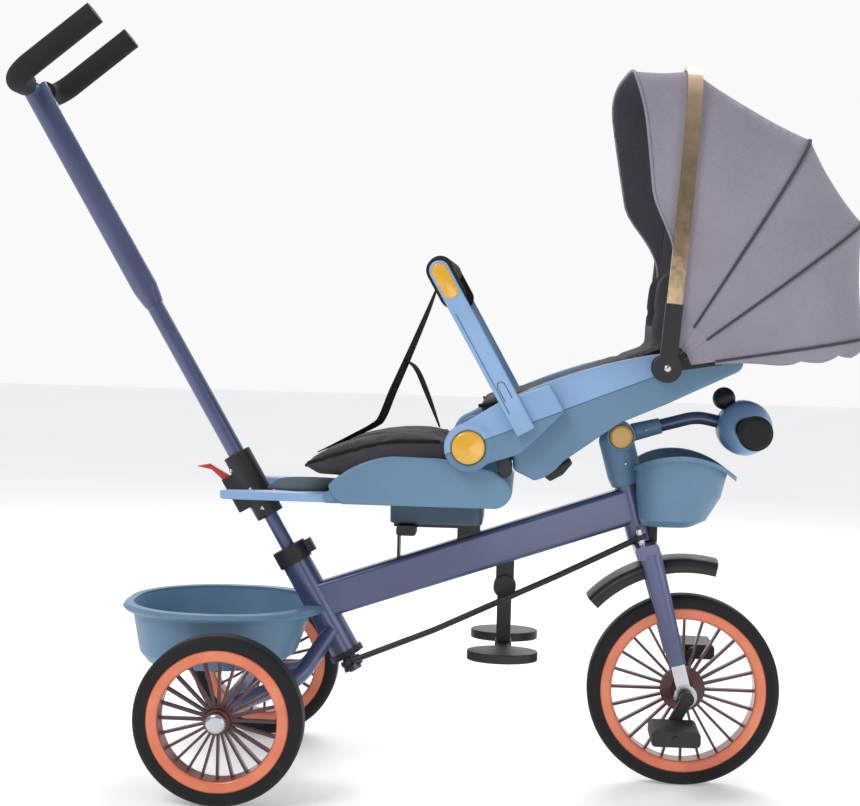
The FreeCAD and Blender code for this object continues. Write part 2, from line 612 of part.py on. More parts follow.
def make_head_cover():
    """The moulded cover round the top of the head, the stem socket, its button and the stem tube."""
    cover = revolved("cover_turned", [
        ("Sizes.head_radius + 0.4", "0"), ("Sizes.cover_radius - 3", "0"), ("Sizes.cover_radius", "14"),
        ("Sizes.cover_radius", "Sizes.cover_tall - 16", "22"),
        ("Sizes.cover_radius - 14", "Sizes.cover_tall"), ("0", "Sizes.cover_tall"), ("0", "16"),
        ("Sizes.head_radius + 0.4", "16"),
    ])
    cover.Placement = Placement(Vector(0, 0, size("cover_low") - 17), Rotation())
    barrel = cylinder("cover_barrel", "Sizes.stem_button_radius + 4", "2 * Sizes.cover_radius + 8")
    pivot = STEM_PIVOT
    barrel.Placement = Placement(pivot - Vector(0, value("Sizes.cover_radius + 4"), 0), ACROSS)
    pocket = cylinder("cover_pocket", "Sizes.stem_button_radius + 0.4", "10")
    pocket.Placement = Placement(pivot - Vector(0, value("Sizes.cover_radius + 4"), 0), ACROSS)
    steerer = cylinder("cover_steerer_space", "Sizes.steerer_radius", "60")
    steerer.Placement.Base = Vector(0, 0, size("cover_low") - 40)
    whole = cut("head_cover_pocketed", fuse("head_cover_whole", cover, barrel), pocket)
    cover_node = node("head_cover", cut("head_cover", whole, steerer), Placement(STEER_FOOT, STEER))
    doc.recompute()
    button = revolved("stem_button", [
        ("0", "-4"), ("Sizes.stem_button_radius - 3", "-4", "60"), ("Sizes.stem_button_radius", "-2"),
        ("Sizes.stem_button_radius", "5"), ("0", "5")])
    place = Placement(on_steerer(pivot.z, pivot.x, -value("Sizes.cover_radius + 4")), STEER.multiply(ACROSS))
    node("stem_button", button, place)
    big = ellipse("socket_root", "Sizes.socket_radius", "Sizes.socket_radius - 1", stem_start(16))
    small = ellipse("socket_mouth", "Sizes.stem_radius + 2", "Sizes.stem_radius + 2",
                    stem_start(size("socket_length")))
    socket = loft("socket_loft", [big, small])
    cover_there = feature("cover_there", cover_node.Shape)
    end = spot(size("bar_x"), 0, size("bar_z"))
    tube = bent_bar("stem_bar", [stem_start(size("socket_length") - 26).Base,
                                 stem_start(size("stem_apex")).Base, end], "Sizes.stem_radius", 60)
    ball = primitive("Sphere", "stem_ball_space", {"Radius": "Sizes.ball_radius - 6"})
    ball.Placement.Base = end
    node("stem_socket", cut("stem_socket", cut("socket_open", socket, cover_there), tube))
    node("stem_tube", cut("stem_tube", tube, ball))


def make_handlebar():
    """The round hub on the stem, and a grip over each half of the bar."""
    middle = spot(size("bar_x"), 0, size("bar_z"))
    place = Placement(middle, ACROSS)
    start = "Sizes.grip_start"
    hub = revolved("hub_turned", [
        ("0", "-Sizes.ball_half"), ("Sizes.grip_radius + 4", "-Sizes.ball_half", "30"),
        ("Sizes.ball_radius", "-8"), ("Sizes.ball_radius", "8", "30"),
        ("Sizes.grip_radius + 4", "Sizes.ball_half"), ("0", "Sizes.ball_half"),
    ], place)
    stem = doc.getObject("stem_tube")
    grips = []
    for side, name in ((-1, "right"), (1, "left")):
        turn = Rotation(Vector(1, 0, 0), -90 * side)
        grips.append(revolved(f"grip_{name}", [
            ("0", f"{start}"), ("Sizes.grip_radius", f"{start}"),
            ("Sizes.grip_radius", "Sizes.bar_half - 14", "4"), ("Sizes.grip_flange", "Sizes.bar_half - 11"),
            ("Sizes.grip_flange", "Sizes.bar_half - 4", "6"), ("Sizes.grip_flange - 5", "Sizes.bar_half"),
            ("0", "Sizes.bar_half"),
        ], Placement(middle, turn)))
    bored = hub
    for grip in grips:
        bored = cut("hub_open_" + grip.Name, bored, grip)
    node("handlebar_hub", cut("handlebar_hub", bored, stem))
    node("handlebar_grips", group("handlebar_grips", *grips))


def make_front_basket():
    """A scoop with an arched rim, hung in front of the head on a small bracket."""
    reach, half, tall = size("basket_reach"), size("basket_half"), size("basket_tall")
    wall = size("basket_wall")
    base = spot(size("basket_x"), 0, size("basket_low"))

    def section(name, shrink, height):
        long = reach - shrink
        return rounded_rectangle(name, long, 2 * half - shrink * 1.2, long * 0.42,
                                 base + Vector(long / 2 + shrink * 0.18, 0, height))

    outer = loft("scoop_outside", [section("scoop_a", 62, 0), section("scoop_b", 40, 9),
                                   section("scoop_c", 18, 40), section("scoop_d", 0, tall + 20)], True)
    inner = loft("scoop_inside", [section("scoop_e", 68, wall), section("scoop_f", 46, 9 + wall),
                                  section("scoop_g", 24, 40), section("scoop_h", 6, tall + 21)], True)
    lip_outer = loft("scoop_lip_outside", [section("scoop_i", -2, 30), section("scoop_j", -10, tall + 20)], True)
    middle = base + Vector(reach * 0.46, 0, 0)
    arch = 112.0
    top = tall + 14
    trim = cylinder("scoop_trim", str(arch), "400",
                    Placement(Vector(middle.x, -200, base.z + top - arch), ACROSS))
    under = cylinder("scoop_under", str(arch - size("basket_lip")), "400",
                     Placement(Vector(middle.x, -200, base.z + top - arch), ACROSS))
    lip = cut("scoop_lip_low", cut("scoop_lip_ring", lip_outer, inner), under)
    whole = fuse("scoop_whole", cut("scoop_shell", outer, inner), lip)
    arched = doc.addObject("Part::Common", "scoop_arched")
    arched.Base = whole
    arched.Tool = trim
    bracket = primitive("Box", "scoop_bracket", {"Height": "Sizes.basket_low - 318"})
    bracket.Length, bracket.Width = 10, 24
    bracket.Placement.Base = spot(size("basket_x") + 22, -12, 319)
    strap = primitive("Box", "scoop_strap", {})
    strap.Length, strap.Width, strap.Height = 30, 24, 4
    strap.Placement.Base = spot(size("basket_x") + 2, -12, 319)
    joined = fuse("scoop_bracketed", arched, bracket, strap)
    space = cylinder("scoop_head_space", "Sizes.head_radius + 3", "260",
                     Placement(on_steerer(value("Sizes.crown_low + Sizes.crown_tall")), STEER))
    round_cover = cylinder("scoop_round_cover", "Sizes.cover_radius + 1.5", "160",
                           Placement(on_steerer(value("Sizes.cover_low - 24")), STEER))
    round_barrel = cylinder("scoop_round_barrel", "Sizes.stem_button_radius + 7", "80",
                            Placement(on_steerer(STEM_PIVOT.z, STEM_PIVOT.x, -40), STEER.multiply(ACROSS)))
    cover_space = fuse("scoop_cover_space", round_cover, round_barrel)
    stem_space = cylinder("scoop_stem_space", "Sizes.socket_radius + 5", "90", stem_start(5))
    crown_space = doc.getObject("fork")
    cleared = cut("scoop_stemmed", cut("scoop_headed", cut("scoop_covered", joined, space), cover_space), stem_space)
    node("front_basket", cut("front_basket", cleared, crown_space))


# ---------------------------------------------------------------- cranks and pedals

def crank_end(side):
    """The middle of a pedal pin, from the front axle."""
    lean = math.radians(size("crank_lean"))
    out = Vector(-math.cos(lean), 0, -math.sin(lean)) * size("crank_length") * (-side)
    return out + Vector(0, side * size("crank_y"), 0)


def make_cranks():
    """The front axle with a crank and a pedal pin at each end, half a turn apart."""
    rod = cylinder("front_axle_rod", "Sizes.axle_radius", "2 * Sizes.crank_y",
                   Placement(Vector(0, -size("crank_y"), 0), ACROSS))
    pieces = [rod]
    for side, name in ((-1, "right"), (1, "left")):
        end = crank_end(side)
        angle = math.degrees(math.atan2(-end.z, end.x))
        web = primitive("Box", f"crank_web_{name}", {
            "Length": "Sizes.crank_length", "Width": "Sizes.crank_thick", "Height": "Sizes.crank_wide"})
        turn = Rotation(Vector(0, 1, 0), angle)
        web.Placement = Placement(Vector(0, end.y - size("crank_thick") / 2, 0)
                                  + turn.multVec(Vector(0, 0, -size("crank_wide") / 2)), turn)
        hub = cylinder(f"crank_hub_{name}", "Sizes.crank_wide / 2 + 2", "Sizes.crank_thick",
                       Placement(Vector(0, end.y - size("crank_thick") / 2, 0), ACROSS))
        eye = cylinder(f"crank_eye_{name}", "Sizes.crank_wide / 2", "Sizes.crank_thick",
                       Placement(end - Vector(0, size("crank_thick") / 2, 0), ACROSS))
        low = min(end.y, end.y + side * (size("pedal_wide") + 10))
        pin = cylinder(f"pedal_pin_{name}", "Sizes.pin_radius", "Sizes.pedal_wide + 10",
                       Placement(Vector(end.x, low, end.z), ACROSS))
        pieces += [web, hub, eye, pin]
    node("crank_axle", fuse("crank_axle", *pieces), Placement(FRONT_AXLE, Rotation()))


def make_pedals():
    """Block pedals that turn freely on the crank pins."""
    for side, name in ((-1, "right"), (1, "left")):
        pedal = primitive("Box", f"pedal_block_{name}", {
            "Length": "Sizes.pedal_long", "Width": "Sizes.pedal_wide", "Height": "Sizes.pedal_tall"})
        soft = rounded(f"pedal_soft_{name}", pedal, 6, runs_along(Vector(0, 1, 0)))
        bore = cylinder(f"pedal_bore_{name}", "Sizes.pin_radius + Sizes.bore_play", "Sizes.pedal_wide + 20",
                        Placement(Vector(size("pedal_long") / 2, -10, size("pedal_tall") / 2), ACROSS))
        end = crank_end(side)
        inner = end.y + side * (size("crank_thick") / 2 + 2)
        low = min(inner, inner + side * size("pedal_wide"))
        corner = Vector(end.x - size("pedal_long") / 2, low, end.z - size("pedal_tall") / 2)
        node(f"pedal_{name}", cut(f"pedal_{name}", soft, bore), Placement(FRONT_AXLE + corner, Rotation()))


# ---------------------------------------------------------------- push bar and steering rod

ARM_LEVEL = -23.0


def make_column():
    """The turning tube inside the sleeve, and the arm below it that pulls the steering rod."""
    tail = size("column_tail")
    column = ring("steering_column", "Sizes.column_radius", "Sizes.column_bore",
                  "Sizes.column_top + Sizes.column_tail")
    node("steering_column", column, Placement(on_column(-tail), COLUMN))
    arm = primitive("Box", "column_arm_bar", {"Width": "Sizes.arm_reach + 7", "Height": "Sizes.arm_thick"})
    arm.Length = 14
    arm.Placement.Base = Vector(-7, -value("Sizes.arm_reach + 7"), ARM_LEVEL)
    hub = cylinder("column_arm_hub", "Sizes.column_radius + 4", "12")
    hub.Placement.Base = Vector(0, 0, ARM_LEVEL - 2)
    pin = cylinder("column_arm_pin", "Sizes.pin_radius", "Sizes.arm_thick + Sizes.rod_eye_tall + 5")
    pin.Placement.Base = Vector(0, -size("arm_reach"), ARM_LEVEL)
    whole = fuse("column_arm_whole", arm, hub, pin)
    space = cylinder("column_arm_space", "Sizes.column_radius", "60")
    space.Placement.Base = Vector(0, 0, -40)
    node("column_arm", cut("column_arm", whole, space), Placement(COLUMN_FOOT, COLUMN))


LEVER_PIVOT = Vector(-27, 0, value("Sizes.clamp_low + 48"))


def make_push_bar():
    """The clamp, the pole that telescopes over the column, the oval upper tube and the U handle with its grips."""
    low, tall = size("clamp_low"), size("clamp_tall")
    body = cylinder("clamp_body", "Sizes.clamp_radius", "Sizes.clamp_tall", Placement(Vector(0, 0, low), Rotation()))
    ears = primitive("Box", "clamp_ears", {"Height": "Sizes.clamp_tall - 44"})
    ears.Length, ears.Width = 20, 22
    ears.Placement.Base = Vector(-34, -11, low + 22)
    slot = primitive("Box", "clamp_slot", {"Height": "Sizes.clamp_tall"})
    slot.Length, slot.Width = 15, 12.8
    slot.Placement.Base = Vector(-35, -6.4, low + 10)
    bore = cylinder("clamp_bore", "Sizes.pole_radius", "Sizes.clamp_tall", Placement(Vector(0, 0, low + 6), Rotation()))
    mouth = cylinder("clamp_mouth", "Sizes.column_radius + 0.3", "20", Placement(Vector(0, 0, low - 5), Rotation()))
    pin = cylinder("clamp_pin", "2.5", "22", Placement(LEVER_PIVOT - Vector(0, 11, 0), ACROSS))
    eared = fuse("clamp_pinned", cut("clamp_slotted", fuse("clamp_whole", body, ears), slot), pin)
    place = Placement(COLUMN_FOOT, COLUMN)
    node("bar_clamp", cut("bar_clamp", cut("clamp_bored", eared, bore), mouth), place)
    pole = ring("push_pole", "Sizes.pole_radius", "Sizes.pole_bore", "Sizes.pole_top - Sizes.clamp_low - 6")
    node("push_pole", pole, Placement(on_column(low + 6), COLUMN))
    foot = ellipse("upper_foot", "Sizes.pole_radius + 1.5", "Sizes.pole_radius + 1.5",
                   Placement(Vector(0, 0, size("upper_low")), Rotation()))
    shoulder = ellipse("upper_shoulder", "Sizes.upper_wide", "Sizes.upper_thin",
                       Placement(Vector(0, 0, size("upper_low") + 26), Rotation()))
    end = ellipse("upper_end", "Sizes.upper_wide", "Sizes.upper_thin",
                  Placement(Vector(0, 0, size("upper_top")), Rotation()))
    upper = loft("upper_tube", [foot, shoulder, end], True)
    pole_space = cylinder("upper_pole_space", "Sizes.pole_radius", "400",
                          Placement(Vector(0, 0, size("pole_top") - 400), Rotation()))
    hollow = cut("upper_hollow", upper, pole_space)
    top = Vector(0, 0, size("upper_top"))
    rise = Rotation(Vector(0, 1, 0), size("column_lean") - size("handle_rise"))
    reach = rise.multVec(Vector(size("handle_reach"), 0, 0))
    half = Vector(0, size("handle_half"), 0)
    core = bent_bar("handle_core", [top - half + reach, top - half, top + half, top + half + reach],
                    "Sizes.handle_tube", 30)
    short = reach * (1 - 6 / size("handle_reach"))
    node("push_upper_tube", fuse("push_upper_tube", hollow, core), place)
    foam = bent_bar("handle_foam", [top - half + reach * 1.03, top - half, top + half, top + half + reach * 1.03],
                    "Sizes.grip_foam", 30)
    gap = primitive("Box", "foam_gap", {"Width": "2 * Sizes.handle_half - 116"})
    gap.Length, gap.Height = 80, 80
    gap.Placement.Base = top + Vector(-40, -(size("handle_half") - 58), -40)
    bored = cut("foam_bored", cut("foam_halves", foam, gap), core)
    node("push_grips", bored, place)


def make_clamp_lever():
    """The quick-release lever on the back of the clamp."""
    low = size("clamp_low") + 34
    pivot = cylinder("lever_pivot", "6", "12", Placement(LEVER_PIVOT - Vector(0, 6, 0), ACROSS))
    blade = padded("lever_blade", "XZ_Plane", [
        ("-33", str(low + 10)), ("-24", str(low + 10)), ("-23", str(low + 40)), ("-38", str(low + 66)),
        ("-56", str(low + 72)), ("-40", str(low + 58)), ("-34", str(low + 40)),
    ], "10")
    bore = cylinder("lever_bore", "2.5 + Sizes.bore_play", "40", Placement(LEVER_PIVOT - Vector(0, 20, 0), ACROSS))
    node("clamp_lever", cut("clamp_lever", fuse("lever_whole", pivot, blade), bore),
         Placement(COLUMN_FOOT, COLUMN))


def make_steering_rod():
    """The stiff rod between the column's arm and the crown, with an eye for a pin at each end."""
    tall = size("rod_eye_tall")
    rear = on_column(ARM_LEVEL + size("arm_thick") + tall, 0, -size("arm_reach"))
    front = on_steerer(value("Sizes.crown_low + Sizes.crown_tall") + 1.75 * tall, 0, -size("arm_reach"))
    along = front - rear
    rod = bent_bar("rod_bar", [rear, rear + along * 0.30 - Vector(0, 0, 6), rear + along * 0.72 - Vector(0, 0, 4), front],
                   "Sizes.rod_radius", 220)
    eyes, bores = [], []
    for name, point, turn, play in (("rear", rear, COLUMN, "Sizes.bore_play"), ("front", front, STEER, "Sizes.rod_slack")):
        half = turn.multVec(Vector(0, 0, tall / 2))
        eyes.append(cylinder(f"rod_eye_{name}", "Sizes.rod_eye", "Sizes.rod_eye_tall", Placement(point - half, turn)))
        bores.append(cylinder(f"rod_bore_{name}", f"Sizes.pin_radius + {play}", "3 * Sizes.rod_eye_tall",
                              Placement(point - half * 3, turn)))
    node("steering_rod", cut("steering_rod", fuse("rod_whole", rod, *eyes), fuse("rod_bores", *bores)))


# ---------------------------------------------------------------- seat

def make_seat_base():
    """The round-cornered turning base under the seat."""
    base = primitive("Box", "seat_base_block", {
        "Length": "Sizes.base_long", "Width": "Sizes.base_wide", "Height": "Sizes.base_tall"})
    soft = rounded("seat_base_soft", base, 14, runs_along(Vector(0, 0, 1)))
    spigot = cylinder("seat_base_spigot", "Sizes.turn_radius", "12",
                      Placement(Vector(size("base_long") / 2, size("base_wide") / 2, -8), Rotation()))
    node("seat_base", fuse("seat_base", soft, spigot),
         Placement(spot(size("seat_x") - size("base_long") / 2, -size("base_wide") / 2, size("base_low")), Rotation()))


def profile_solid(name, outline, half_width, place=None):
    """A side outline, given in x from the rear axle and z, padded across the tricycle."""
    shift = size("axle_to_middle")
    corners = [(str(c[0] - shift), str(c[1])) + tuple(str(r) for r in c[2:]) for c in outline]
    return padded(name, "XZ_Plane", corners, f"2 * ({half_width})", place)


LEG_REST_PIVOT = spot(size("leg_rest_root") - 4, 0, size("leg_rest_z"))


def make_seat_shell():
    """The bucket of the seat, open upward, with an ear and a pin at each hinge and lugs for the leg rest."""
    outside = profile_solid("seat_outside", [
        (122, 398, 40), (140, 374), (337, 374, 26), (357, 399, 60), (331, 424), (264, 436), (205, 437, 130),
    ], "Sizes.seat_half")
    inside = profile_solid("seat_inside", [
        (150, 384), (325, 384), (338, 399), (331, 470), (130, 470), (134, 405),
    ], "Sizes.seat_half - 2 * Sizes.shell_wall")
    tub = cut("seat_tub", outside, inside)
    hub = spot(size("seat_hub_x"), 0, size("seat_hub_z"))
    ears = []
    for side, name in ((-1, "right"), (1, "left")):
        wall = value("Sizes.seat_half - 2 * Sizes.shell_wall")
        low = wall if side > 0 else -wall - 11.4
        ears.append(cylinder(f"seat_ear_{name}", "Sizes.ear_radius", "11.4", Placement(hub + Vector(0, low, 0), ACROSS)))
        low = wall if side > 0 else -wall - 15.5
        ears.append(cylinder(f"seat_pin_{name}", "Sizes.hinge_pin", "15.5", Placement(hub + Vector(0, low, 0), ACROSS)))
    for side, name in ((-1, "right"), (1, "left")):
        lug = primitive("Box", f"leg_rest_lug_{name}", {})
        lug.Length, lug.Width, lug.Height = 24, 8, 15
        inner = value("Sizes.leg_rest_half + 1")
        lug.Placement.Base = LEG_REST_PIVOT + Vector(-5, inner if side > 0 else -inner - 8, -5.5)
        low = inner - 14 if side > 0 else -inner - 4
        ears += [lug, cylinder(f"leg_rest_pin_{name}", "Sizes.rib_radius", "18",
                               Placement(LEG_REST_PIVOT + Vector(0, low, 0), ACROSS))]
    node("seat_shell", fuse("seat_shell", tub, *ears))


def make_seat_cushion():
    """A thin crowned pad, thicker at the back."""
    pad = profile_solid("seat_pad", [
        (152, 384.2), (282, 384.2), (282, 452), (262, 458, 300), (183, 456, 300), (86, 421), (84, 416), (88, 412),
        (136, 412),
    ], "Sizes.cushion_half")
    node("seat_cushion", pad)


def make_buttons():
    """The recline buttons in the hinge rings at both sides of the seat."""
    hub = spot(size("seat_hub_x"), 0, size("seat_hub_z"))
    for side, name in ((-1, "right"), (1, "left")):
        button = revolved(f"recline_button_{name}", [
            ("0", "0"), ("Sizes.hub_button_radius", "0"), ("Sizes.hub_button_radius", "6", "4"),
            ("Sizes.hub_button_radius - 3", "9"), ("0", "11"),
        ])
        place = Placement(hub + Vector(0, side * (size("hub_outer") - 7), 0), Rotation(Vector(1, 0, 0), -90 * side))
        node(f"recline_button_{name}", button, place)


def make_seat_release():
    """The latch handle under the seat base that frees the turntable."""
    knob = primitive("Box", "release_block", {})
    knob.Length, knob.Width, knob.Height = 26, 30, 13
    soft = rounded("release_soft", knob, 4, runs_along(Vector(0, 1, 0)))
    node("seat_release", soft, Placement(spot(206, -72, size("base_low") - 13.7), Rotation()))


def make_leg_rest():
    """Two side rails joined by a board, whose front edge stops short of the push pole."""
    tip, edge, root = size("leg_rest_tip"), size("leg_rest_edge"), size("leg_rest_root")
    half, rail = size("leg_rest_half"), size("leg_rest_rail")
    shift = size("axle_to_middle")
    left = [(root, half), (tip + 14, half), (tip + 4, half - 4), (tip, half - rail / 2), (tip + 4, half - rail + 4),
            (tip + 14, half - rail), (edge, half - rail - 10)]
    right = [(x, -y) for x, y in reversed(left)]
    body = padded("leg_rest_board", "XY_Plane", [(str(x - shift), str(y)) for x, y in left + right],
                  "Sizes.leg_rest_thick", Placement(Vector(0, 0, size("leg_rest_z")), Rotation()))
    space = cylinder("leg_rest_space", "40", "400", Placement(spot(160, -200, 397), ACROSS))
    bore = cylinder("leg_rest_bore", "Sizes.rib_radius + Sizes.bore_play", "400",
                    Placement(LEG_REST_PIVOT - Vector(0, 200, 0), ACROSS))
    node("leg_rest", cut("leg_rest", cut("leg_rest_clear", body, space), bore))


# ---------------------------------------------------------------- backrest and guard bar

def make_back_shell():
    """The reclined back: a tapering tub that opens towards the rider, with a hinge ring at each side."""
    outside = profile_solid("back_outside", [
        (357, 424), (384, 411, 60), (419, 436), (489, 487), (548, 513), (636, 556, 14), (640, 575),
        (560, 580, 700), (365, 523, 120), (330, 500), (352, 470),
    ], "Sizes.back_half")
    inside = profile_solid("back_inside", [
        (372, 432), (384, 424), (412, 447), (484, 500), (545, 527), (628, 566), (626, 640), (340, 620),
        (290, 520), (346, 484),
    ], "Sizes.back_half - 2 * Sizes.shell_wall")
    tub = cut("back_tub", outside, inside)
    hub = spot(size("seat_hub_x"), 0, size("seat_hub_z"))
    arms = []
    shift = size("axle_to_middle")
    for side, name in ((-1, "right"), (1, "left")):
        disc = cylinder(f"hinge_ring_{name}", "Sizes.hub_ring_radius", "16")
        base = side * size("hub_outer") - (16 if side > 0 else 0)
        disc.Placement = Placement(hub + Vector(0, base, 0), ACROSS)
        strap = padded(f"hinge_arm_{name}", "XZ_Plane", [
            (str(292 - shift), "482"), (str(318 - shift), "430"), (str(366 - shift), "446"),
            (str(420 - shift), "500"), (str(400 - shift), "534"), (str(340 - shift), "512"),
        ], "12", Placement(Vector(0, side * (size("hub_outer") - 10), 0), Rotation()))
        pocket = cylinder(f"hinge_pocket_{name}", "Sizes.hub_button_radius + 0.3", "12")
        base = side * size("hub_outer") - (12 if side > 0 else 0)
        pocket.Placement = Placement(hub + Vector(0, base, 0), ACROSS)
        bore = cylinder(f"hinge_bore_{name}", "Sizes.hinge_pin + Sizes.bore_play", "2 * Sizes.hub_outer",
                        Placement(hub - Vector(0, size("hub_outer"), 0), ACROSS))
        arms.append(cut(f"hinge_side_{name}", fuse(f"hinge_whole_{name}", disc, strap), fuse(
            f"hinge_space_{name}", pocket, bore)))
        filler = primitive("Box", f"hinge_filler_{name}", {})
        filler.Length, filler.Width, filler.Height = 28, 10, 34
        filler.Placement.Base = spot(368, 134 if side > 0 else -144, 482)
        arms.append(filler)
    node("back_shell", fuse("back_shell", tub, *arms))


def make_back_cushions():
    """The pad that lines the back, and the head bolster that stands inside the canopy."""
    pad = profile_solid("back_pad", [
        (376, 440), (412, 454), (482, 506), (545, 533), (622, 569), (618, 590), (560, 592), (480, 562),
        (400, 530), (330, 512), (304, 503), (304, 497), (338, 494), (350, 488),
    ], "Sizes.back_half - 2 * Sizes.shell_wall - 1")
    bolster = profile_solid("bolster_whole", [
        (530, 581.2), (560, 592.4), (600, 591.2), (592, 660, 30), (552, 680, 30), (532, 660),
    ], "92")
    space = profile_solid("bolster_space", [
        (500, 606), (574, 612), (572, 720), (480, 720),
    ], "68")
    node("back_cushions", group("back_cushions", pad, cut("head_bolster", bolster, space)))


GUARD_FOOT = spot(372, 0, 474)
GUARD_TOP = spot(254, 0, 680)
GUARD_TURN = Rotation(Vector(0, 0, 1), GUARD_TOP - GUARD_FOOT)


def make_guard():
    """The guard ring: two flat side arms and a padded cross bar in front of the rider."""
    arms = []
    across = GUARD_TURN.multVec(Vector(1, 0, 0)) * (size("guard_wide") / 2)
    corners = [GUARD_FOOT + across, GUARD_TOP + across, GUARD_TOP - across, GUARD_FOOT - across]
    for side, name in ((-1, "right"), (1, "left")):
        arm = padded(f"guard_arm_{name}", "XZ_Plane", [(str(c.x), str(c.z)) for c in corners], "Sizes.guard_thick",
                     Placement(Vector(0, side * value("Sizes.guard_face + Sizes.guard_thick / 2"), 0), Rotation()))
        arms.append(rounded(f"guard_soft_{name}", arm, 4, lambda edge: edge.Length > 100))
    bar_half = value("Sizes.guard_face + 2")
    bar = cylinder("guard_cross", "9", str(2 * bar_half), Placement(spot(258, -bar_half, 676), ACROSS))
    pockets = fuse("guard_pockets", *(guard_button_box(f"guard_pocket_{name}", side, 0.5, 8.5)
                                      for side, name in ((-1, "right"), (1, "left"))))
    node("guard_ring", cut("guard_ring", fuse("guard_ring_whole", bar, *arms), pockets))
    pad_half = bar_half - 11
    node("guard_pad", ring("guard_pad", "17", "9", str(2 * pad_half), Placement(spot(258, -pad_half, 676), ACROSS)))


def guard_button_box(name, side, margin, deep):
    """A box near the top of a guard arm, standing 1.5 mm proud: a button, or the pocket it moves in."""
    box = primitive("Box", name, {})
    box.Length, box.Width, box.Height = 14 + 2 * margin, deep, 40 + 2 * margin
    proud = value("Sizes.guard_face + Sizes.guard_thick + 1.5")
    inner = proud - deep if side > 0 else -proud
    start = GUARD_FOOT + Vector(0, inner, 0)
    box.Placement = Placement(start + GUARD_TURN.multVec(Vector(-7 - margin, 0, 186 - margin)), GUARD_TURN)
    return box


def make_guard_buttons():
    """The buttons near the top of the guard ring that free its cross bar."""
    for side, name in ((-1, "right"), (1, "left")):
        button = guard_button_box(f"guard_button_{name}", side, 0, 4.5)
        node(f"guard_button_{name}", button)


# ---------------------------------------------------------------- canopy

CANOPY_RIBS = {"visor": (97.0, 386), "bow": (85.5, 385), "rib_upper": (58.4, 350),
               "rib_middle": (37.2, 318), "rib_rear": (9.5, 264)}
CANOPY_ROOT = 60.0
CANOPY_HUB = spot(size("canopy_x"), 0, size("canopy_z"))


def rib_direction(name):
    """The direction of a rib from the canopy's hub."""
    lean = math.radians(CANOPY_RIBS[name][0])
    return Vector(math.cos(lean), 0, math.sin(lean))


def arch_point(name, t, inset=0.0):
    """A point on a rib's arch: t runs from 0 at the right foot, over the top at 0.5, to 1 at the left foot."""
    reach = CANOPY_RIBS[name][1]
    half = size("canopy_half") - inset
    swing = math.pi * t
    side = -math.copysign(abs(math.cos(swing)) ** 0.62, math.cos(swing)) * half
    out = CANOPY_ROOT + (reach - inset - CANOPY_ROOT) * abs(math.sin(swing)) ** 0.62
    return CANOPY_HUB + rib_direction(name) * out + Vector(0, side, 0)


def arch_wire(name, inset=0.0, steps=20):
    """A smooth curve through the arch's points."""
    curve = Part.BSplineCurve()
    curve.interpolate([arch_point(name, i / steps, inset) for i in range(steps + 1)])
    return curve.toShape()


def rib(name, radius):
    """A round wire rib bent over the canopy."""
    arch = Part.Wire([arch_wire(name, 6)])
    start = arch.Edges[0]
    ahead = start.tangentAt(start.FirstParameter)
    section = Part.Wire([Part.makeCircle(radius, start.valueAt(start.FirstParameter), ahead)])
    return feature("canopy_" + name + "_wire", arch.makePipeShell([section], True, False))


def cloth_panel(name, first, second, shrink_first=0.0, shrink_second=0.0):
    """One gore of the canopy: a thin solid spread between two arches."""
    thick = size("cloth_thick")
    profiles = []
    for arch_name, trim in ((first, shrink_first), (second, shrink_second)):
        outer, inner = arch_wire(arch_name), arch_wire(arch_name, thick)
        ends = [(outer.valueAt(e), inner.valueAt(i)) for e, i in
                ((outer.FirstParameter, inner.FirstParameter), (outer.LastParameter, inner.LastParameter))]
        loop = Part.Wire(Part.__sortEdges__([outer, Part.makeLine(*ends[1]), inner, Part.makeLine(*ends[0])]))
        loop.rotate(CANOPY_HUB, Vector(0, -1, 0), trim)
        profiles.append(loop)
    solid = Part.makeLoft(profiles, True, True)
    return feature("canopy_" + name, solid)


def hub_bar(name, angle_name, y_low, wide, across, reach):
    """A flat bar from the canopy's hub out along a rib, as thick as `wide`."""
    turn = Rotation(Vector(0, 1, 0), 90 - CANOPY_RIBS[angle_name][0])
    bar = primitive("Box", name, {})
    bar.Length, bar.Width, bar.Height = across, wide, reach
    bar.Placement = Placement(CANOPY_HUB + Vector(0, y_low, 0) + turn.multVec(Vector(-across / 2, 0, 0)), turn)
    return bar


def hub_disc(name, radius, y_low, wide):
    return cylinder(name, radius, str(wide), Placement(CANOPY_HUB + Vector(0, y_low, 0), ACROSS))


def hub_eyes(rib_name, y_in):
    """Joins a wire rib to the hub pins with a bored bar at each side, |y| from y_in to the rib's outside."""
    pieces = [rib(rib_name, size("rib_radius"))]
    rib_out = value("Sizes.canopy_half - 6 + Sizes.rib_radius")
    for side, name in ((-1, "right"), (1, "left")):
        label = f"{rib_name}_{name}"
        low = y_in if side > 0 else -y_in - 6
        pieces.append(hub_bar(label + "_bar", rib_name, low, 6, 8, CANOPY_ROOT + 3))
        pieces.append(hub_disc(label + "_disc", "9", low, 6))
        foot_low = y_in if side > 0 else -rib_out
        foot = hub_bar(label + "_foot", rib_name, foot_low, rib_out - y_in, 8, 6)
        foot.Placement.Base += rib_direction(rib_name) * (CANOPY_ROOT - 3)
        pieces.append(foot)
    bore = hub_disc(rib_name + "_bore", "Sizes.pin_radius + Sizes.bore_play", -value("Sizes.canopy_half * 1.2"),
                    value("Sizes.canopy_half * 2.4"))
    return cut("canopy_" + rib_name, fuse(rib_name + "_whole", *pieces), bore)


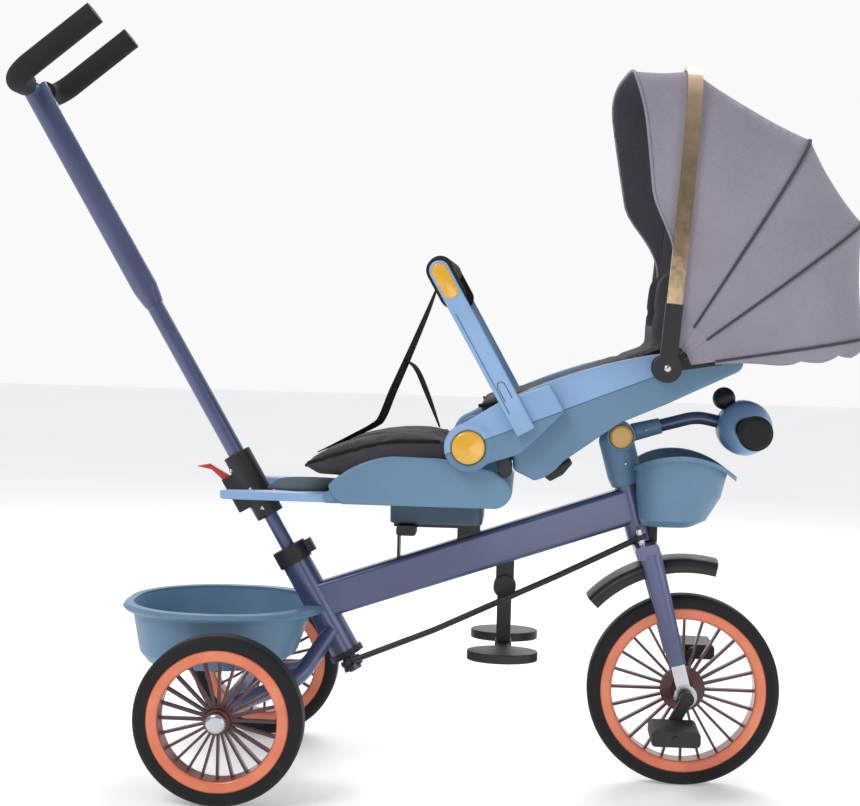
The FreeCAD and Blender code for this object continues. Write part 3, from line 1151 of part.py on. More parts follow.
def make_canopy():
    """The bow with its sockets, two free ribs, the fixed rear rib on the hubs, and four cloth gores."""
    bow = canopy_bow()
    node("canopy_bow", bow)
    sockets = []
    wide = value("Sizes.bow_thick + 3.5")
    bore = hub_disc("bow_bore", "Sizes.pin_radius + Sizes.bore_play", -200, 400)
    for side, name in ((-1, "right"), (1, "left")):
        low = size("canopy_half") + 0.3 if side > 0 else -size("canopy_half") - 0.3 - wide
        bar = hub_bar(f"bow_socket_{name}", "bow", low, wide, size("bow_wide") + 2.4, CANOPY_ROOT + 20)
        disc = hub_disc(f"bow_disc_{name}", "Sizes.hub_disc_radius", low, wide)
        whole = cut(f"bow_socket_bored_{name}", fuse(f"bow_socket_whole_{name}", bar, disc), bore)
        sockets.append(cut(f"bow_socket_open_{name}", whole, bow))
    node("bow_sockets", group("bow_sockets", *sockets))
    node("canopy_rib_upper", hub_eyes("rib_upper", value("Sizes.canopy_half - 9")))
    node("canopy_rib_middle", hub_eyes("rib_middle", value("Sizes.canopy_half - 17")))
    node("canopy_base", canopy_base())
    node("canopy_visor", cloth_panel("visor", "visor", "bow", 0.0, -2.0))
    node("canopy_gore_top", cloth_panel("gore_top", "bow", "rib_upper", -2.0, 0.5))
    node("canopy_gore_middle", cloth_panel("gore_middle", "rib_upper", "rib_middle", -0.5, 0.5))
    node("canopy_gore_rear", cloth_panel("gore_rear", "rib_middle", "rib_rear", -0.5, -1.2))


def canopy_bow():
    """The flat plated bow, outside the cloth."""
    wide, thick = size("bow_wide"), size("bow_thick")
    angle = CANOPY_RIBS["bow"][0]
    outer, inner = arch_wire("bow", -thick - 0.3), arch_wire("bow", -0.3)
    ends = [(outer.valueAt(e), inner.valueAt(i)) for e, i in
            ((outer.FirstParameter, inner.FirstParameter), (outer.LastParameter, inner.LastParameter))]
    loop = Part.Wire(Part.__sortEdges__([outer, Part.makeLine(*ends[1]), inner, Part.makeLine(*ends[0])]))
    normal = Vector(-math.sin(math.radians(angle)), 0, math.cos(math.radians(angle)))
    band = Part.Face(loop)
    band.translate(normal * (-wide / 2))
    return feature("canopy_bow", band.extrude(normal * wide))


def canopy_base():
    """Hub pins, side arms and the fixed rear rib, which hold the canopy to the back."""
    pieces = [rib("rib_rear", size("rib_radius"))]
    inner = size("back_half")
    pin_reach = value("Sizes.canopy_half + Sizes.bow_thick + 5") - inner
    foot_reach = value("Sizes.canopy_half - 6 + Sizes.rib_radius") - inner
    for side, name in ((-1, "right"), (1, "left")):
        def low(wide):
            return inner if side > 0 else -inner - wide
        pieces.append(hub_disc(f"canopy_pin_{name}", "Sizes.pin_radius", low(pin_reach), pin_reach))
        pieces.append(hub_disc(f"canopy_disc_{name}", "Sizes.hub_disc_radius", low(10), 10))
        pieces.append(hub_bar(f"canopy_arm_{name}", "rib_rear", low(10), 10, 12, CANOPY_ROOT + 10))
        foot = hub_bar(f"canopy_foot_{name}", "rib_rear", low(foot_reach), foot_reach, 8, 8)
        foot.Placement.Base += rib_direction("rib_rear") * (CANOPY_ROOT - 4)
        pieces.append(foot)
    return fuse("canopy_base", *pieces)


# ---------------------------------------------------------------- straps and the child's footrest

def make_straps():
    """The crotch strap from the guard ring's pad down to the front of the seat."""
    shift = size("axle_to_middle")
    low = [(249.2, 660.2), (222, 604), (208, 540), (190, 494), (150, 470), (112, 450), (94, 431)]
    width = 12.0
    points = [Vector(x - shift, 0, z) for x, z in low]
    curve = Part.BSplineCurve()
    curve.interpolate(points)
    edge = curve.toShape()
    start = points[0]
    ahead = edge.tangentAt(edge.FirstParameter)
    across = Vector(0, 1, 0)
    normal = ahead.cross(across).normalize()
    corners = [start + across * (width * a) + normal * (0.8 * b) for a, b in ((-1, -1), (1, -1), (1, 1), (-1, 1), (-1, -1))]
    section = Part.makePolygon(corners)
    strap = feature("crotch_strap", Part.Wire([edge]).makePipeShell([section], True, False))
    node("crotch_strap", strap)


def make_footrest():
    """The folding footrest: a knuckle on the lug's pin, a post and two oval plates on a cross bar."""
    pivot = spot(size("footrest_x"), 0, size("footrest_z"))
    drop = size("post_drop")
    cheeks = []
    for side, name in ((-1, "right"), (1, "left")):
        low = 6.3 if side > 0 else -6.3 - 6
        cheeks.append(cylinder(f"footrest_cheek_{name}", "Sizes.knuckle_radius", "6",
                               Placement(pivot + Vector(0, low, 0), ACROSS)))
    pin = cylinder("footrest_pin", "Sizes.pin_radius - Sizes.bore_play", "24",
                   Placement(pivot - Vector(0, 12, 0), ACROSS))
    post = primitive("Box", "footrest_post_block", {"Height": "Sizes.post_drop - 10"})
    post.Length, post.Width = 19, 24.6
    post.Placement.Base = pivot + Vector(-9.5, -12.3, -drop)
    space = primitive("Box", "footrest_fork_space", {})
    space.Length, space.Width, space.Height = 60, 12.6, 60
    space.Placement.Base = pivot + Vector(-30, -6.3, -19)
    post_open = cut("footrest_post_open", post, space)
    node("footrest_post", fuse("footrest_post", post_open, pin, *cheeks))
    plates = []
    inner, outer = size("plate_inner"), size("plate_outer")
    for side, name in ((-1, "right"), (1, "left")):
        disc = ellipse(f"plate_low_{name}", "Sizes.plate_long / 2", f"{(outer - inner) / 2}",
                       Placement(pivot + Vector(0, side * (inner + outer) / 2, -drop - 12), Rotation()))
        top = ellipse(f"plate_top_{name}", "Sizes.plate_long / 2", f"{(outer - inner) / 2}",
                      Placement(pivot + Vector(0, side * (inner + outer) / 2, -drop), Rotation()))
        plates.append(loft(f"plate_{name}", [disc, top]))
    bar = primitive("Box", "plate_bar", {})
    bar.Length, bar.Width, bar.Height = 16, 2 * inner + 20, 9
    bar.Placement.Base = pivot + Vector(-8, -inner - 10, -drop - 10.5)
    hub_block = primitive("Box", "plate_hub", {})
    hub_block.Length, hub_block.Width, hub_block.Height = 22, 28, 12
    hub_block.Placement.Base = pivot + Vector(-11, -14, -drop - 12)
    node("foot_plates", fuse("foot_plates", bar, hub_block, *plates))


# ---------------------------------------------------------------- build, check and write

make_wheels()
make_beam()
make_tubes()
make_rear_frame()
make_rear_axle()
make_brackets()
make_collars()
make_rear_basket()
make_fork()
make_fork_fittings()
make_fender()
make_head_cover()
make_handlebar()
make_front_basket()
make_cranks()
make_pedals()
make_column()
make_push_bar()
make_clamp_lever()
make_steering_rod()
make_seat_base()
make_seat_shell()
make_seat_cushion()
make_buttons()
make_seat_release()
make_leg_rest()
make_back_shell()
make_back_cushions()
make_guard()
make_guard_buttons()
make_canopy()
make_straps()
make_footrest()
doc.recompute()

failed = [thing.Name for thing in doc.Objects if {"Invalid", "Error"} & set(thing.State)]
if failed:
    raise RuntimeError(f"these objects failed: {failed}")
for thing in nodes:
    if thing.Shape.isNull() or not thing.Shape.isValid():
        raise RuntimeError(f"{thing.Label} has no valid shape")

os.makedirs("parts", exist_ok=True)
whole = FreeCAD.BoundBox()
for thing in nodes:
    thing.Shape.exportStep(f"parts/{thing.Label}.step")
    whole.add(thing.Shape.BoundBox)
    print(f"{thing.Label:24s} {len(thing.Shape.Solids):2d} solids {thing.Shape.Volume / 1000:9.2f} cm3")
print(f"{len(nodes)} nodes, box {whole}")
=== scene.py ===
import json
import math

import bmesh
import bpy
from mathutils import Matrix, Vector, noise


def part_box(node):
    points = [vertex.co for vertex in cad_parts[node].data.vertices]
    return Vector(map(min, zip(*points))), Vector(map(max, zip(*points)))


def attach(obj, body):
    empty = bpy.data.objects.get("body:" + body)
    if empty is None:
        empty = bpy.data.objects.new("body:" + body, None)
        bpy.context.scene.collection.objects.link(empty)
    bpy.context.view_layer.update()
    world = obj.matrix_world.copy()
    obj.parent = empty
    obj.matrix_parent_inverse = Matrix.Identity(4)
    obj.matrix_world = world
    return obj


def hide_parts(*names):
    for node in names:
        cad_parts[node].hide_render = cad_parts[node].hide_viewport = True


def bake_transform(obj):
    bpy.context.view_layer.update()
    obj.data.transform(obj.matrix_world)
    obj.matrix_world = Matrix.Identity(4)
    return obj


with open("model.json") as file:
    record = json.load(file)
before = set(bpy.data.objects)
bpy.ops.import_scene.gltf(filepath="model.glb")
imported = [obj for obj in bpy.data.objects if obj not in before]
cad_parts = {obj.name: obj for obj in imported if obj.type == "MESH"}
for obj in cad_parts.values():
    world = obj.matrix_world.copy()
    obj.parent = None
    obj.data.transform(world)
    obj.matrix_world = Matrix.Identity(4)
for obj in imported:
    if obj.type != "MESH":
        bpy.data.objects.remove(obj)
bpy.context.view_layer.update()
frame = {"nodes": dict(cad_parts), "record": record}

# A children's push tricycle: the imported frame, with its soft parts and mouldings built here.
# Positions are in millimetres, x measured forward from the rear axle.
# mm() turns them into the frame's metres. Lengths handed to tube() are in metres.

AXLE_TO_MIDDLE = 244.6
BODY_OF = {node: body for body, nodes in frame["record"]["behaviour"]["bodies"].items() for node in nodes}


def mm(x, y, z):
    return Vector(((x - AXLE_TO_MIDDLE) / 1000, y / 1000, z / 1000))


def side_name(side):
    """The rider's right is at negative y."""
    return "left" if side > 0 else "right"


def y_range(side, inner, outer):
    """The low and high y of something that lies between two distances from the middle, on one side."""
    return sorted((side * inner, side * outer))


# ---------------------------------------------------------------- materials

def shader(name, roughness, metallic=0.0, coat=0.0, sheen=0.0, sheen_tint=(1, 1, 1, 1), specular=0.5):
    mat = bpy.data.materials.new(name)
    mat.use_nodes = True
    tree = mat.node_tree
    bsdf = tree.nodes["Principled BSDF"]
    bsdf.inputs["Metallic"].default_value = metallic
    bsdf.inputs["Roughness"].default_value = roughness
    bsdf.inputs["Coat Weight"].default_value = coat
    bsdf.inputs["Coat Roughness"].default_value = 0.12
    bsdf.inputs["Sheen Weight"].default_value = sheen
    bsdf.inputs["Sheen Tint"].default_value = sheen_tint
    bsdf.inputs["Specular IOR Level"].default_value = specular
    return mat, tree, bsdf


def object_coords(tree):
    return add(tree, "TexCoord").outputs["Object"]


def add(tree, kind, **settings):
    node = tree.nodes.new("ShaderNode" + kind)
    for key, number in settings.items():
        setattr(node, key, number)
    return node


def noise_of(tree, coords, scale, detail=3.0, roughness=0.55):
    node = add(tree, "TexNoise")
    node.inputs["Scale"].default_value = scale
    node.inputs["Detail"].default_value = detail
    node.inputs["Roughness"].default_value = roughness
    tree.links.new(coords, node.inputs["Vector"])
    return node.outputs["Fac"]


def ramp(tree, factor, stops):
    node = add(tree, "ValToRGB")
    while len(node.color_ramp.elements) < len(stops):
        node.color_ramp.elements.new(0.5)
    for element, (place, colour) in zip(node.color_ramp.elements, stops):
        element.position = place
        element.color = (*colour, 1)
    tree.links.new(factor, node.inputs["Fac"])
    return node.outputs["Color"]


def math_of(tree, operation, a, b):
    node = add(tree, "Math", operation=operation)
    for socket, item in zip(node.inputs, (a, b)):
        if hasattr(item, "links"):
            tree.links.new(item, socket)
        else:
            socket.default_value = item
    return node.outputs[0]


def bump(tree, bsdf, height, strength, distance):
    node = add(tree, "Bump")
    node.inputs["Strength"].default_value = strength
    node.inputs["Distance"].default_value = distance
    tree.links.new(height, node.inputs["Height"])
    tree.links.new(node.outputs["Normal"], bsdf.inputs["Normal"])


def rough_range(tree, bsdf, factor, low, high):
    node = add(tree, "MapRange")
    node.inputs["To Min"].default_value = low
    node.inputs["To Max"].default_value = high
    tree.links.new(factor, node.inputs["Value"])
    tree.links.new(node.outputs["Result"], bsdf.inputs["Roughness"])


def scaled(tree, socket, factor):
    return math_of(tree, "MULTIPLY", socket, factor)


def mixed(tree, factor, first, second):
    """Two colours mixed: each is a socket or a plain colour."""
    node = add(tree, "Mix", data_type="RGBA")
    node.clamp_factor = True
    tree.links.new(factor, node.inputs[0])
    for socket, item in zip((node.inputs[6], node.inputs[7]), (first, second)):
        if hasattr(item, "links"):
            tree.links.new(item, socket)
        else:
            socket.default_value = (*item, 1)
    return node.outputs[2]


def span(tree, socket, low, high):
    """0 to 1 as a value goes from low to high."""
    node = add(tree, "MapRange")
    node.inputs["From Min"].default_value = low
    node.inputs["From Max"].default_value = high
    tree.links.new(socket, node.inputs["Value"])
    return node.outputs["Result"]


def tinted(colour, factor):
    return tuple(min(1.0, c * factor) for c in colour)


def edge_wear(tree, colour_socket, worn):
    """Mixes a paler, worn tone into the sharp edges."""
    bevel = add(tree, "Bevel")
    bevel.inputs["Radius"].default_value = 0.0015
    geometry = add(tree, "NewGeometry")
    dot = add(tree, "VectorMath", operation="DOT_PRODUCT")
    tree.links.new(bevel.outputs["Normal"], dot.inputs[0])
    tree.links.new(geometry.outputs["Normal"], dot.inputs[1])
    edge = scaled(tree, math_of(tree, "SUBTRACT", 1.0, dot.outputs["Value"]), 2.2)
    return mixed(tree, edge, colour_socket, worn)


def moulded(name, colour, roughness=0.42, grain=900.0, depth=0.25, coat=0.0, variation=0.10, wear=1.35):
    """Moulded plastic: a faint mottling, a fine spark-eroded grain and paler edges."""
    mat, tree, bsdf = shader(name, roughness, coat=coat)
    coords = object_coords(tree)
    cloud = noise_of(tree, coords, 9.0, 4.0)
    base = ramp(tree, cloud, [(0.3, tinted(colour, 1 - variation)), (0.7, tinted(colour, 1 + variation))])
    tree.links.new(edge_wear(tree, base, tinted(colour, wear)), bsdf.inputs["Base Color"])
    fine = noise_of(tree, coords, grain, 2.0)
    rough_range(tree, bsdf, noise_of(tree, coords, 40.0, 3.0), roughness - 0.07, roughness + 0.1)
    bump(tree, bsdf, fine, depth, 0.00012)
    return mat


def painted(name, colour, roughness=0.34):
    """Stove-enamelled tube: metallic flakes and an orange-peel surface under a clear coat."""
    mat, tree, bsdf = shader(name, roughness, metallic=0.45, coat=0.5)
    coords = object_coords(tree)
    flakes = noise_of(tree, coords, 2600.0, 1.0)
    cloud = noise_of(tree, coords, 7.0, 3.0)
    both = math_of(tree, "ADD", scaled(tree, flakes, 0.45), scaled(tree, cloud, 0.55))
    base = ramp(tree, both, [(0.35, tinted(colour, 0.84)), (0.65, tinted(colour, 1.2))])
    tree.links.new(base, bsdf.inputs["Base Color"])
    rough_range(tree, bsdf, noise_of(tree, coords, 25.0, 4.0), roughness - 0.06, roughness + 0.1)
    bump(tree, bsdf, noise_of(tree, coords, 260.0, 2.0), 0.12, 0.0002)
    return mat


def plated(name, colour, roughness):
    """Plated steel, slightly clouded, with fine scratches that change its gloss."""
    mat, tree, bsdf = shader(name, roughness, metallic=1.0)
    coords = object_coords(tree)
    cloud = noise_of(tree, coords, 30.0, 5.0)
    base = ramp(tree, cloud, [(0.35, tinted(colour, 0.82)), (0.65, colour)])
    tree.links.new(base, bsdf.inputs["Base Color"])
    rough_range(tree, bsdf, noise_of(tree, coords, 120.0, 4.0), roughness - 0.05, roughness + 0.14)
    bump(tree, bsdf, noise_of(tree, coords, 700.0, 2.0), 0.06, 0.0001)
    return mat


def rubber(name, colour, roughness, grain, dust):
    """Rubber or foam: a pebbled skin with patches of pale dust."""
    mat, tree, bsdf = shader(name, roughness, specular=0.35)
    coords = object_coords(tree)
    cloud = noise_of(tree, coords, 14.0, 6.0, 0.65)
    base = ramp(tree, cloud, [(0.38, colour), (0.62, tinted(colour, 1.35)), (0.85, dust)])
    tree.links.new(base, bsdf.inputs["Base Color"])
    cell = add(tree, "TexVoronoi")
    cell.inputs["Scale"].default_value = grain
    tree.links.new(coords, cell.inputs["Vector"])
    rough_range(tree, bsdf, cloud, roughness - 0.08, roughness + 0.1)
    bump(tree, bsdf, cell.outputs["Distance"], 0.35, 0.0004)
    return mat


def woven(name, dark, light, thread, heather, sheen, depth=0.5):
    """Woven cloth: crossing threads in relief over a heather of two tones."""
    roughness = 0.88
    mat, tree, bsdf = shader(name, roughness, sheen=sheen, sheen_tint=(*tinted(light, 1.6), 1), specular=0.25)
    coords = object_coords(tree)
    threads = []
    for turn in (0.78, -0.78):
        mapping = add(tree, "Mapping")
        mapping.inputs["Rotation"].default_value = (0.5, turn, turn)
        tree.links.new(coords, mapping.inputs["Vector"])
        wave = add(tree, "TexWave")
        wave.inputs["Scale"].default_value = thread
        wave.inputs["Distortion"].default_value = 1.2
        wave.inputs["Detail"].default_value = 1.0
        wave.inputs["Detail Scale"].default_value = 2.0
        tree.links.new(mapping.outputs["Vector"], wave.inputs["Vector"])
        threads.append(wave.outputs["Fac"])
    weave = scaled(tree, math_of(tree, "ADD", *threads), 0.5)
    fleck = noise_of(tree, coords, heather, 2.0, 0.7)
    cloud = noise_of(tree, coords, 11.0, 4.0)
    tone = math_of(tree, "ADD", scaled(tree, fleck, 0.6), scaled(tree, weave, 0.22))
    tone = math_of(tree, "ADD", tone, scaled(tree, cloud, 0.18))
    tree.links.new(ramp(tree, tone, [(0.32, dark), (0.62, light)]), bsdf.inputs["Base Color"])
    rough_range(tree, bsdf, fleck, roughness - 0.08, roughness + 0.08)
    bump(tree, bsdf, math_of(tree, "ADD", weave, scaled(tree, fleck, 0.4)), depth, 0.0004)
    return mat


def two_tone_wheel(name, centre, edge):
    """One moulding in two tones: dark red hub and blades, salmon-orange rim, with the change at a radius."""
    mat, tree, bsdf = shader(name, 0.3, coat=0.35)
    coords = object_coords(tree)
    offset = add(tree, "VectorMath", operation="SUBTRACT")
    offset.inputs[1].default_value = centre
    tree.links.new(coords, offset.inputs[0])
    flat = add(tree, "VectorMath", operation="MULTIPLY")
    flat.inputs[1].default_value = (1, 0, 1)
    tree.links.new(offset.outputs["Vector"], flat.inputs[0])
    length = add(tree, "VectorMath", operation="LENGTH")
    tree.links.new(flat.outputs["Vector"], length.inputs[0])
    wobble = scaled(tree, noise_of(tree, coords, 300.0), 0.0008)
    mask = span(tree, math_of(tree, "ADD", length.outputs["Value"], wobble), edge - 0.001, edge + 0.001)
    cloud = noise_of(tree, coords, 18.0, 4.0)
    inner = ramp(tree, cloud, [(0.35, (0.050, 0.009, 0.011)), (0.65, (0.095, 0.016, 0.018))])
    outer = ramp(tree, cloud, [(0.35, (0.70, 0.165, 0.075)), (0.65, (0.80, 0.240, 0.120))])
    clean = mixed(tree, mask, inner, outer)
    worn = edge_wear(tree, clean, (0.90, 0.45, 0.30))
    tree.links.new(mixed(tree, mask, clean, worn), bsdf.inputs["Base Color"])
    rough_range(tree, bsdf, cloud, 0.26, 0.42)
    bump(tree, bsdf, noise_of(tree, coords, 500.0), 0.08, 0.0002)
    return mat


def shell_with_painted_shade(name):
    """The back's moulding: light above a parting line along its side, with painted shade below it (a darker
    steel-blue tone that stands for the underside in shadow), and a groove between.
    """
    mat, tree, bsdf = shader(name, 0.4)
    coords = object_coords(tree)
    lean = math.radians(PARTING_LEAN)
    upward = Vector((-math.sin(lean), 0, math.cos(lean)))
    dot = add(tree, "VectorMath", operation="DOT_PRODUCT")
    dot.inputs[1].default_value = upward
    tree.links.new(coords, dot.inputs[0])
    above = math_of(tree, "SUBTRACT", dot.outputs["Value"], mm(*PARTING_PLACE).dot(upward))
    mask = span(tree, above, -0.0006, 0.0006)
    cloud = noise_of(tree, coords, 9.0, 4.0)
    # Painted shade: the darker steel-blue tone below the parting line stands for the shell's underside in
    # shadow.
    lower = ramp(tree, cloud, [(0.3, tinted(STEEL_BLUE, 0.86)), (0.7, tinted(STEEL_BLUE, 1.04))])
    upper = ramp(tree, cloud, [(0.3, tinted(LIGHT_BLUE, 0.88)), (0.7, tinted(LIGHT_BLUE, 1.05))])
    groove = span(tree, math_of(tree, "ABSOLUTE", above, 0.0), 0.0, 0.0012)
    tone = mixed(tree, groove, tinted(STEEL_BLUE, 0.35), mixed(tree, mask, lower, upper))
    tree.links.new(edge_wear(tree, tone, tinted(LIGHT_BLUE, 1.4)), bsdf.inputs["Base Color"])
    rough_range(tree, bsdf, noise_of(tree, coords, 40.0), 0.34, 0.5)
    height = math_of(tree, "ADD", scaled(tree, noise_of(tree, coords, 900.0, 2.0), 0.2), groove)
    bump(tree, bsdf, height, 0.3, 0.0006)
    return mat


# The parting line on the side of the back, below which its moulding gets painted shade: a place on it, and
# its slope in degrees.
PARTING_PLACE = (374, 0, 484)
PARTING_LEAN = 21.9

VIOLET = (0.083, 0.096, 0.192)
STEEL_BLUE = (0.119, 0.227, 0.348)
LIGHT_BLUE = (0.241, 0.391, 0.622)
M = {
    "violet": painted("violet_paint", VIOLET),
    "steel": moulded("steel_blue_plastic", STEEL_BLUE, 0.4),
    "light": moulded("light_blue_plastic", LIGHT_BLUE, 0.36, coat=0.1),
    "slate": moulded("slate_plastic", (0.047, 0.081, 0.121), 0.5),
    "black": moulded("black_plastic", (0.010, 0.010, 0.012), 0.45, 700.0, 0.35, wear=2.6, variation=0.25),
    "yellow": moulded("yellow_button", (0.74, 0.40, 0.030), 0.22, 300.0, 0.05, 0.6, wear=1.25),
    "amber": moulded("amber_button", (0.66, 0.37, 0.06), 0.3, 300.0, 0.05, 0.5, wear=1.25),
    "red": moulded("red_lever", (0.50, 0.016, 0.022), 0.28, 300.0, 0.05, 0.5, wear=1.5),
    "chrome": plated("plated_steel", (0.58, 0.59, 0.61), 0.2),
    "gold": plated("champagne_bow", (0.80, 0.58, 0.36), 0.17),
    "tyre": rubber("tyre_rubber", (0.006, 0.006, 0.007), 0.66, 300.0, (0.05, 0.047, 0.045)),
    "foam": rubber("grip_foam", (0.009, 0.009, 0.011), 0.78, 520.0, (0.03, 0.03, 0.033)),
    "cushion": woven("charcoal_fabric", (0.023, 0.023, 0.027), (0.078, 0.075, 0.085), 170.0, 700.0, 0.3),
    "piping": woven("black_piping", (0.008, 0.008, 0.010), (0.022, 0.022, 0.026), 320.0, 900.0, 0.15),
    "canopy": woven("canopy_cloth", (0.168, 0.152, 0.189), (0.344, 0.317, 0.372), 230.0, 1100.0, 0.25, 0.4),
    "lining": woven("canopy_lining", (0.050, 0.046, 0.058), (0.100, 0.092, 0.112), 160.0, 700.0, 0.2),
    # The back's moulding, with painted shade on its underside.
    "back": shell_with_painted_shade("back_with_painted_shade"),
    "binding": woven("canopy_binding", (0.040, 0.034, 0.048), (0.085, 0.075, 0.098), 320.0, 900.0, 0.15),
    "slate_cloth": woven("slate_cloth", (0.030, 0.042, 0.060), (0.060, 0.080, 0.110), 200.0, 700.0, 0.2),
    "webbing": woven("strap_webbing", (0.010, 0.010, 0.012), (0.030, 0.030, 0.034), 420.0, 800.0, 0.2, 0.8),
}

NODE_LOOKS = {
    "violet": ["main_beam", "head_tube", "column_sleeve", "rear_frame", "fork", "stem_tube", "push_pole"],
    "chrome": ["rear_axle", "fork_fittings"],
    "black": ["crank_axle", "beam_brackets", "bearing_collars", "column_arm", "steering_rod", "bow_sockets",
              "canopy_rib_upper", "canopy_rib_middle", "canopy_base", "seat_release"],
    "tyre": ["front_tyre", "rear_left_tyre", "rear_right_tyre"],
    "gold": ["canopy_bow"],
    "foam": ["push_grips", "handlebar_grips"],
}
# The width of the orange rim around each wheel's moulding, in metres.
RIM_WIDE = 0.0143


def dress(node, mat):
    obj = frame["nodes"][node]
    if not obj.material_slots:
        obj.data.materials.append(mat)
    for slot in obj.material_slots:
        slot.link = "OBJECT"
        slot.material = mat


for look, nodes in NODE_LOOKS.items():
    for node in nodes:
        dress(node, M[look])
for node in ("front_wheel", "rear_left_wheel", "rear_right_wheel"):
    low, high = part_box(node)
    middle = (low + high) / 2
    dress(node, two_tone_wheel(node + "_two_tone", middle, (high.z - low.z) / 2 - RIM_WIDE))


# ---------------------------------------------------------------- mesh helpers

def finish_piece(obj, body, slot, *nodes):
    """Says which body a piece rides, and hides the CAD nodes it stands for. The slot argument is not used."""
    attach(obj, body)
    if nodes:
        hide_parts(*nodes)
    return obj


def all_smooth(obj):
    obj.data.polygons.foreach_set("use_smooth", [True] * len(obj.data.polygons))


def new_mesh(name, points, faces, mat):
    mesh = bpy.data.meshes.new(name)
    mesh.from_pydata([tuple(p) for p in points], [], faces)
    mesh.materials.append(mat)
    obj = bpy.data.objects.new(name, mesh)
    bpy.context.scene.collection.objects.link(obj)
    clean = bmesh.new()
    clean.from_mesh(mesh)
    bmesh.ops.remove_doubles(clean, verts=clean.verts, dist=1e-6)
    bmesh.ops.recalc_face_normals(clean, faces=clean.faces)
    clean.to_mesh(mesh)
    clean.free()
    all_smooth(obj)
    return obj


def grid(name, rows, mat, wrap_rows=False, wrap_columns=False, caps=False):
    """A surface through rows of points."""
    wide = len(rows[0])
    points = [p for row in rows for p in row]
    faces = []
    for i in range(len(rows) if wrap_rows else len(rows) - 1):
        for j in range(wide if wrap_columns else wide - 1):
            a, b = i * wide + j, i * wide + (j + 1) % wide
            below = ((i + 1) % len(rows)) * wide
            faces.append((a, b, below + (j + 1) % wide, below + j))
    if caps:
        faces.append(tuple(reversed(range(wide))))
        faces.append(tuple(range((len(rows) - 1) * wide, len(rows) * wide)))
    return new_mesh(name, points, faces, mat)


def apply_modifier(obj, kind, **settings):
    modifier = obj.modifiers.new(kind.lower(), kind)
    for key, number in settings.items():
        setattr(modifier, key, number)
    bake(obj)


def bake(obj):
    """Turns the modifiers into the mesh."""
    evaluated = obj.evaluated_get(bpy.context.evaluated_depsgraph_get())
    mesh = bpy.data.meshes.new_from_object(evaluated)
    obj.modifiers.clear()
    obj.data = mesh


def smooth_by_angle(obj, degrees=38):
    all_smooth(obj)
    obj.data.set_sharp_from_angle(angle=math.radians(degrees))


def joined(name, pieces):
    """One object out of several."""
    bpy.ops.object.select_all(action="DESELECT")
    for piece in pieces:
        piece.select_set(True)
    bpy.context.view_layer.objects.active = pieces[0]
    bpy.ops.object.join()
    pieces[0].name = name
    return pieces[0]


def outline(name, corners, low_y, high_y, mat, bevel, segments=3):
    """A side outline in mm, given thickness across the tricycle and rounded edges."""
    near = [mm(x, low_y, z) for x, z in corners]
    far = [mm(x, high_y, z) for x, z in corners]
    count = len(corners)
    faces = [tuple(range(count)), tuple(range(2 * count - 1, count - 1, -1))]
    faces += [(i, (i + 1) % count, count + (i + 1) % count, count + i) for i in range(count)]
    obj = new_mesh(name, near + far, faces, mat)
    apply_modifier(obj, "BEVEL", width=bevel / 1000, segments=segments, limit_method="ANGLE",
                   angle_limit=math.radians(28))
    smooth_by_angle(obj)
    return obj


def melted_copy(node, name, mat, voxel, rounds):
    """A copy of a CAD node's mesh, remeshed at voxel mm and smoothed."""
    source = frame["nodes"][node]
    mesh = source.data.copy()
    mesh.materials.clear()
    mesh.materials.append(mat)
    mesh.transform(source.matrix_world)
    obj = bpy.data.objects.new(name, mesh)
    bpy.context.scene.collection.objects.link(obj)
    apply_modifier(obj, "REMESH", mode="VOXEL", voxel_size=voxel / 1000)
    apply_modifier(obj, "SMOOTH", factor=0.5, iterations=rounds)
    return obj


def tube(name, path, radius, mat, sides=12, flat=None, width_way=Vector((0, 1, 0)), twist=0.0):
    """A round or flat band along points in metres, turned by twist degrees at its middle.
    flat gives (half width along width_way, half thickness); the path mustn't run along width_way."""
    rows = []
    last = len(path) - 1
    for i, point in enumerate(path):
        ahead = (path[min(i + 1, last)] - path[max(i - 1, 0)]).normalized()
        side = width_way - ahead * width_way.dot(ahead)
        side.normalize()
        side.rotate(Matrix.Rotation(math.radians(twist) * math.sin(math.pi * i / last), 3, ahead))
        up = ahead.cross(side)
        wide, thick = flat if flat else (radius, radius)
        row = []
        for k in range(sides):
            turn = 2 * math.pi * k / sides
            c, s = math.cos(turn), math.sin(turn)
            if flat:
                c = math.copysign(abs(c) ** 0.35, c)
                s = math.copysign(abs(s) ** 0.6, s)
            row.append(point + side * (c * wide) + up * (s * thick))
        rows.append(row)
    return grid(name, rows, mat, wrap_columns=True, caps=True)


def curve_through(points, steps):
    """A smooth line through points: Catmull-Rom."""
    padded_points = [points[0] * 2 - points[1], *points, points[-1] * 2 - points[-2]]
    line = []
    for i in range(1, len(padded_points) - 2):
        a, b, c, d = padded_points[i - 1:i + 3]
        for k in range(steps):
            t = k / steps
            line.append(0.5 * (2 * b + (c - a) * t + (2 * a - 5 * b + 4 * c - d) * t * t
                               + (3 * b - a - 3 * c + d) * t ** 3))
    line.append(points[-1])
    return line


def turned(name, profile, centre, mat, axis_side=1, sides=48):
    """A profile of (radius, along y) in mm turned about the line across the tricycle through centre."""
    rows = []
    for k in range(sides):
        turn = 2 * math.pi * k / sides
        rows.append([mm(centre[0] + r * math.cos(turn), axis_side * y, centre[1] + r * math.sin(turn))
                     for r, y in profile])
    obj = grid(name, rows, mat, wrap_rows=True)
    smooth_by_angle(obj, 50)
    return obj


# ---------------------------------------------------------------- moulded parts that need soft radii

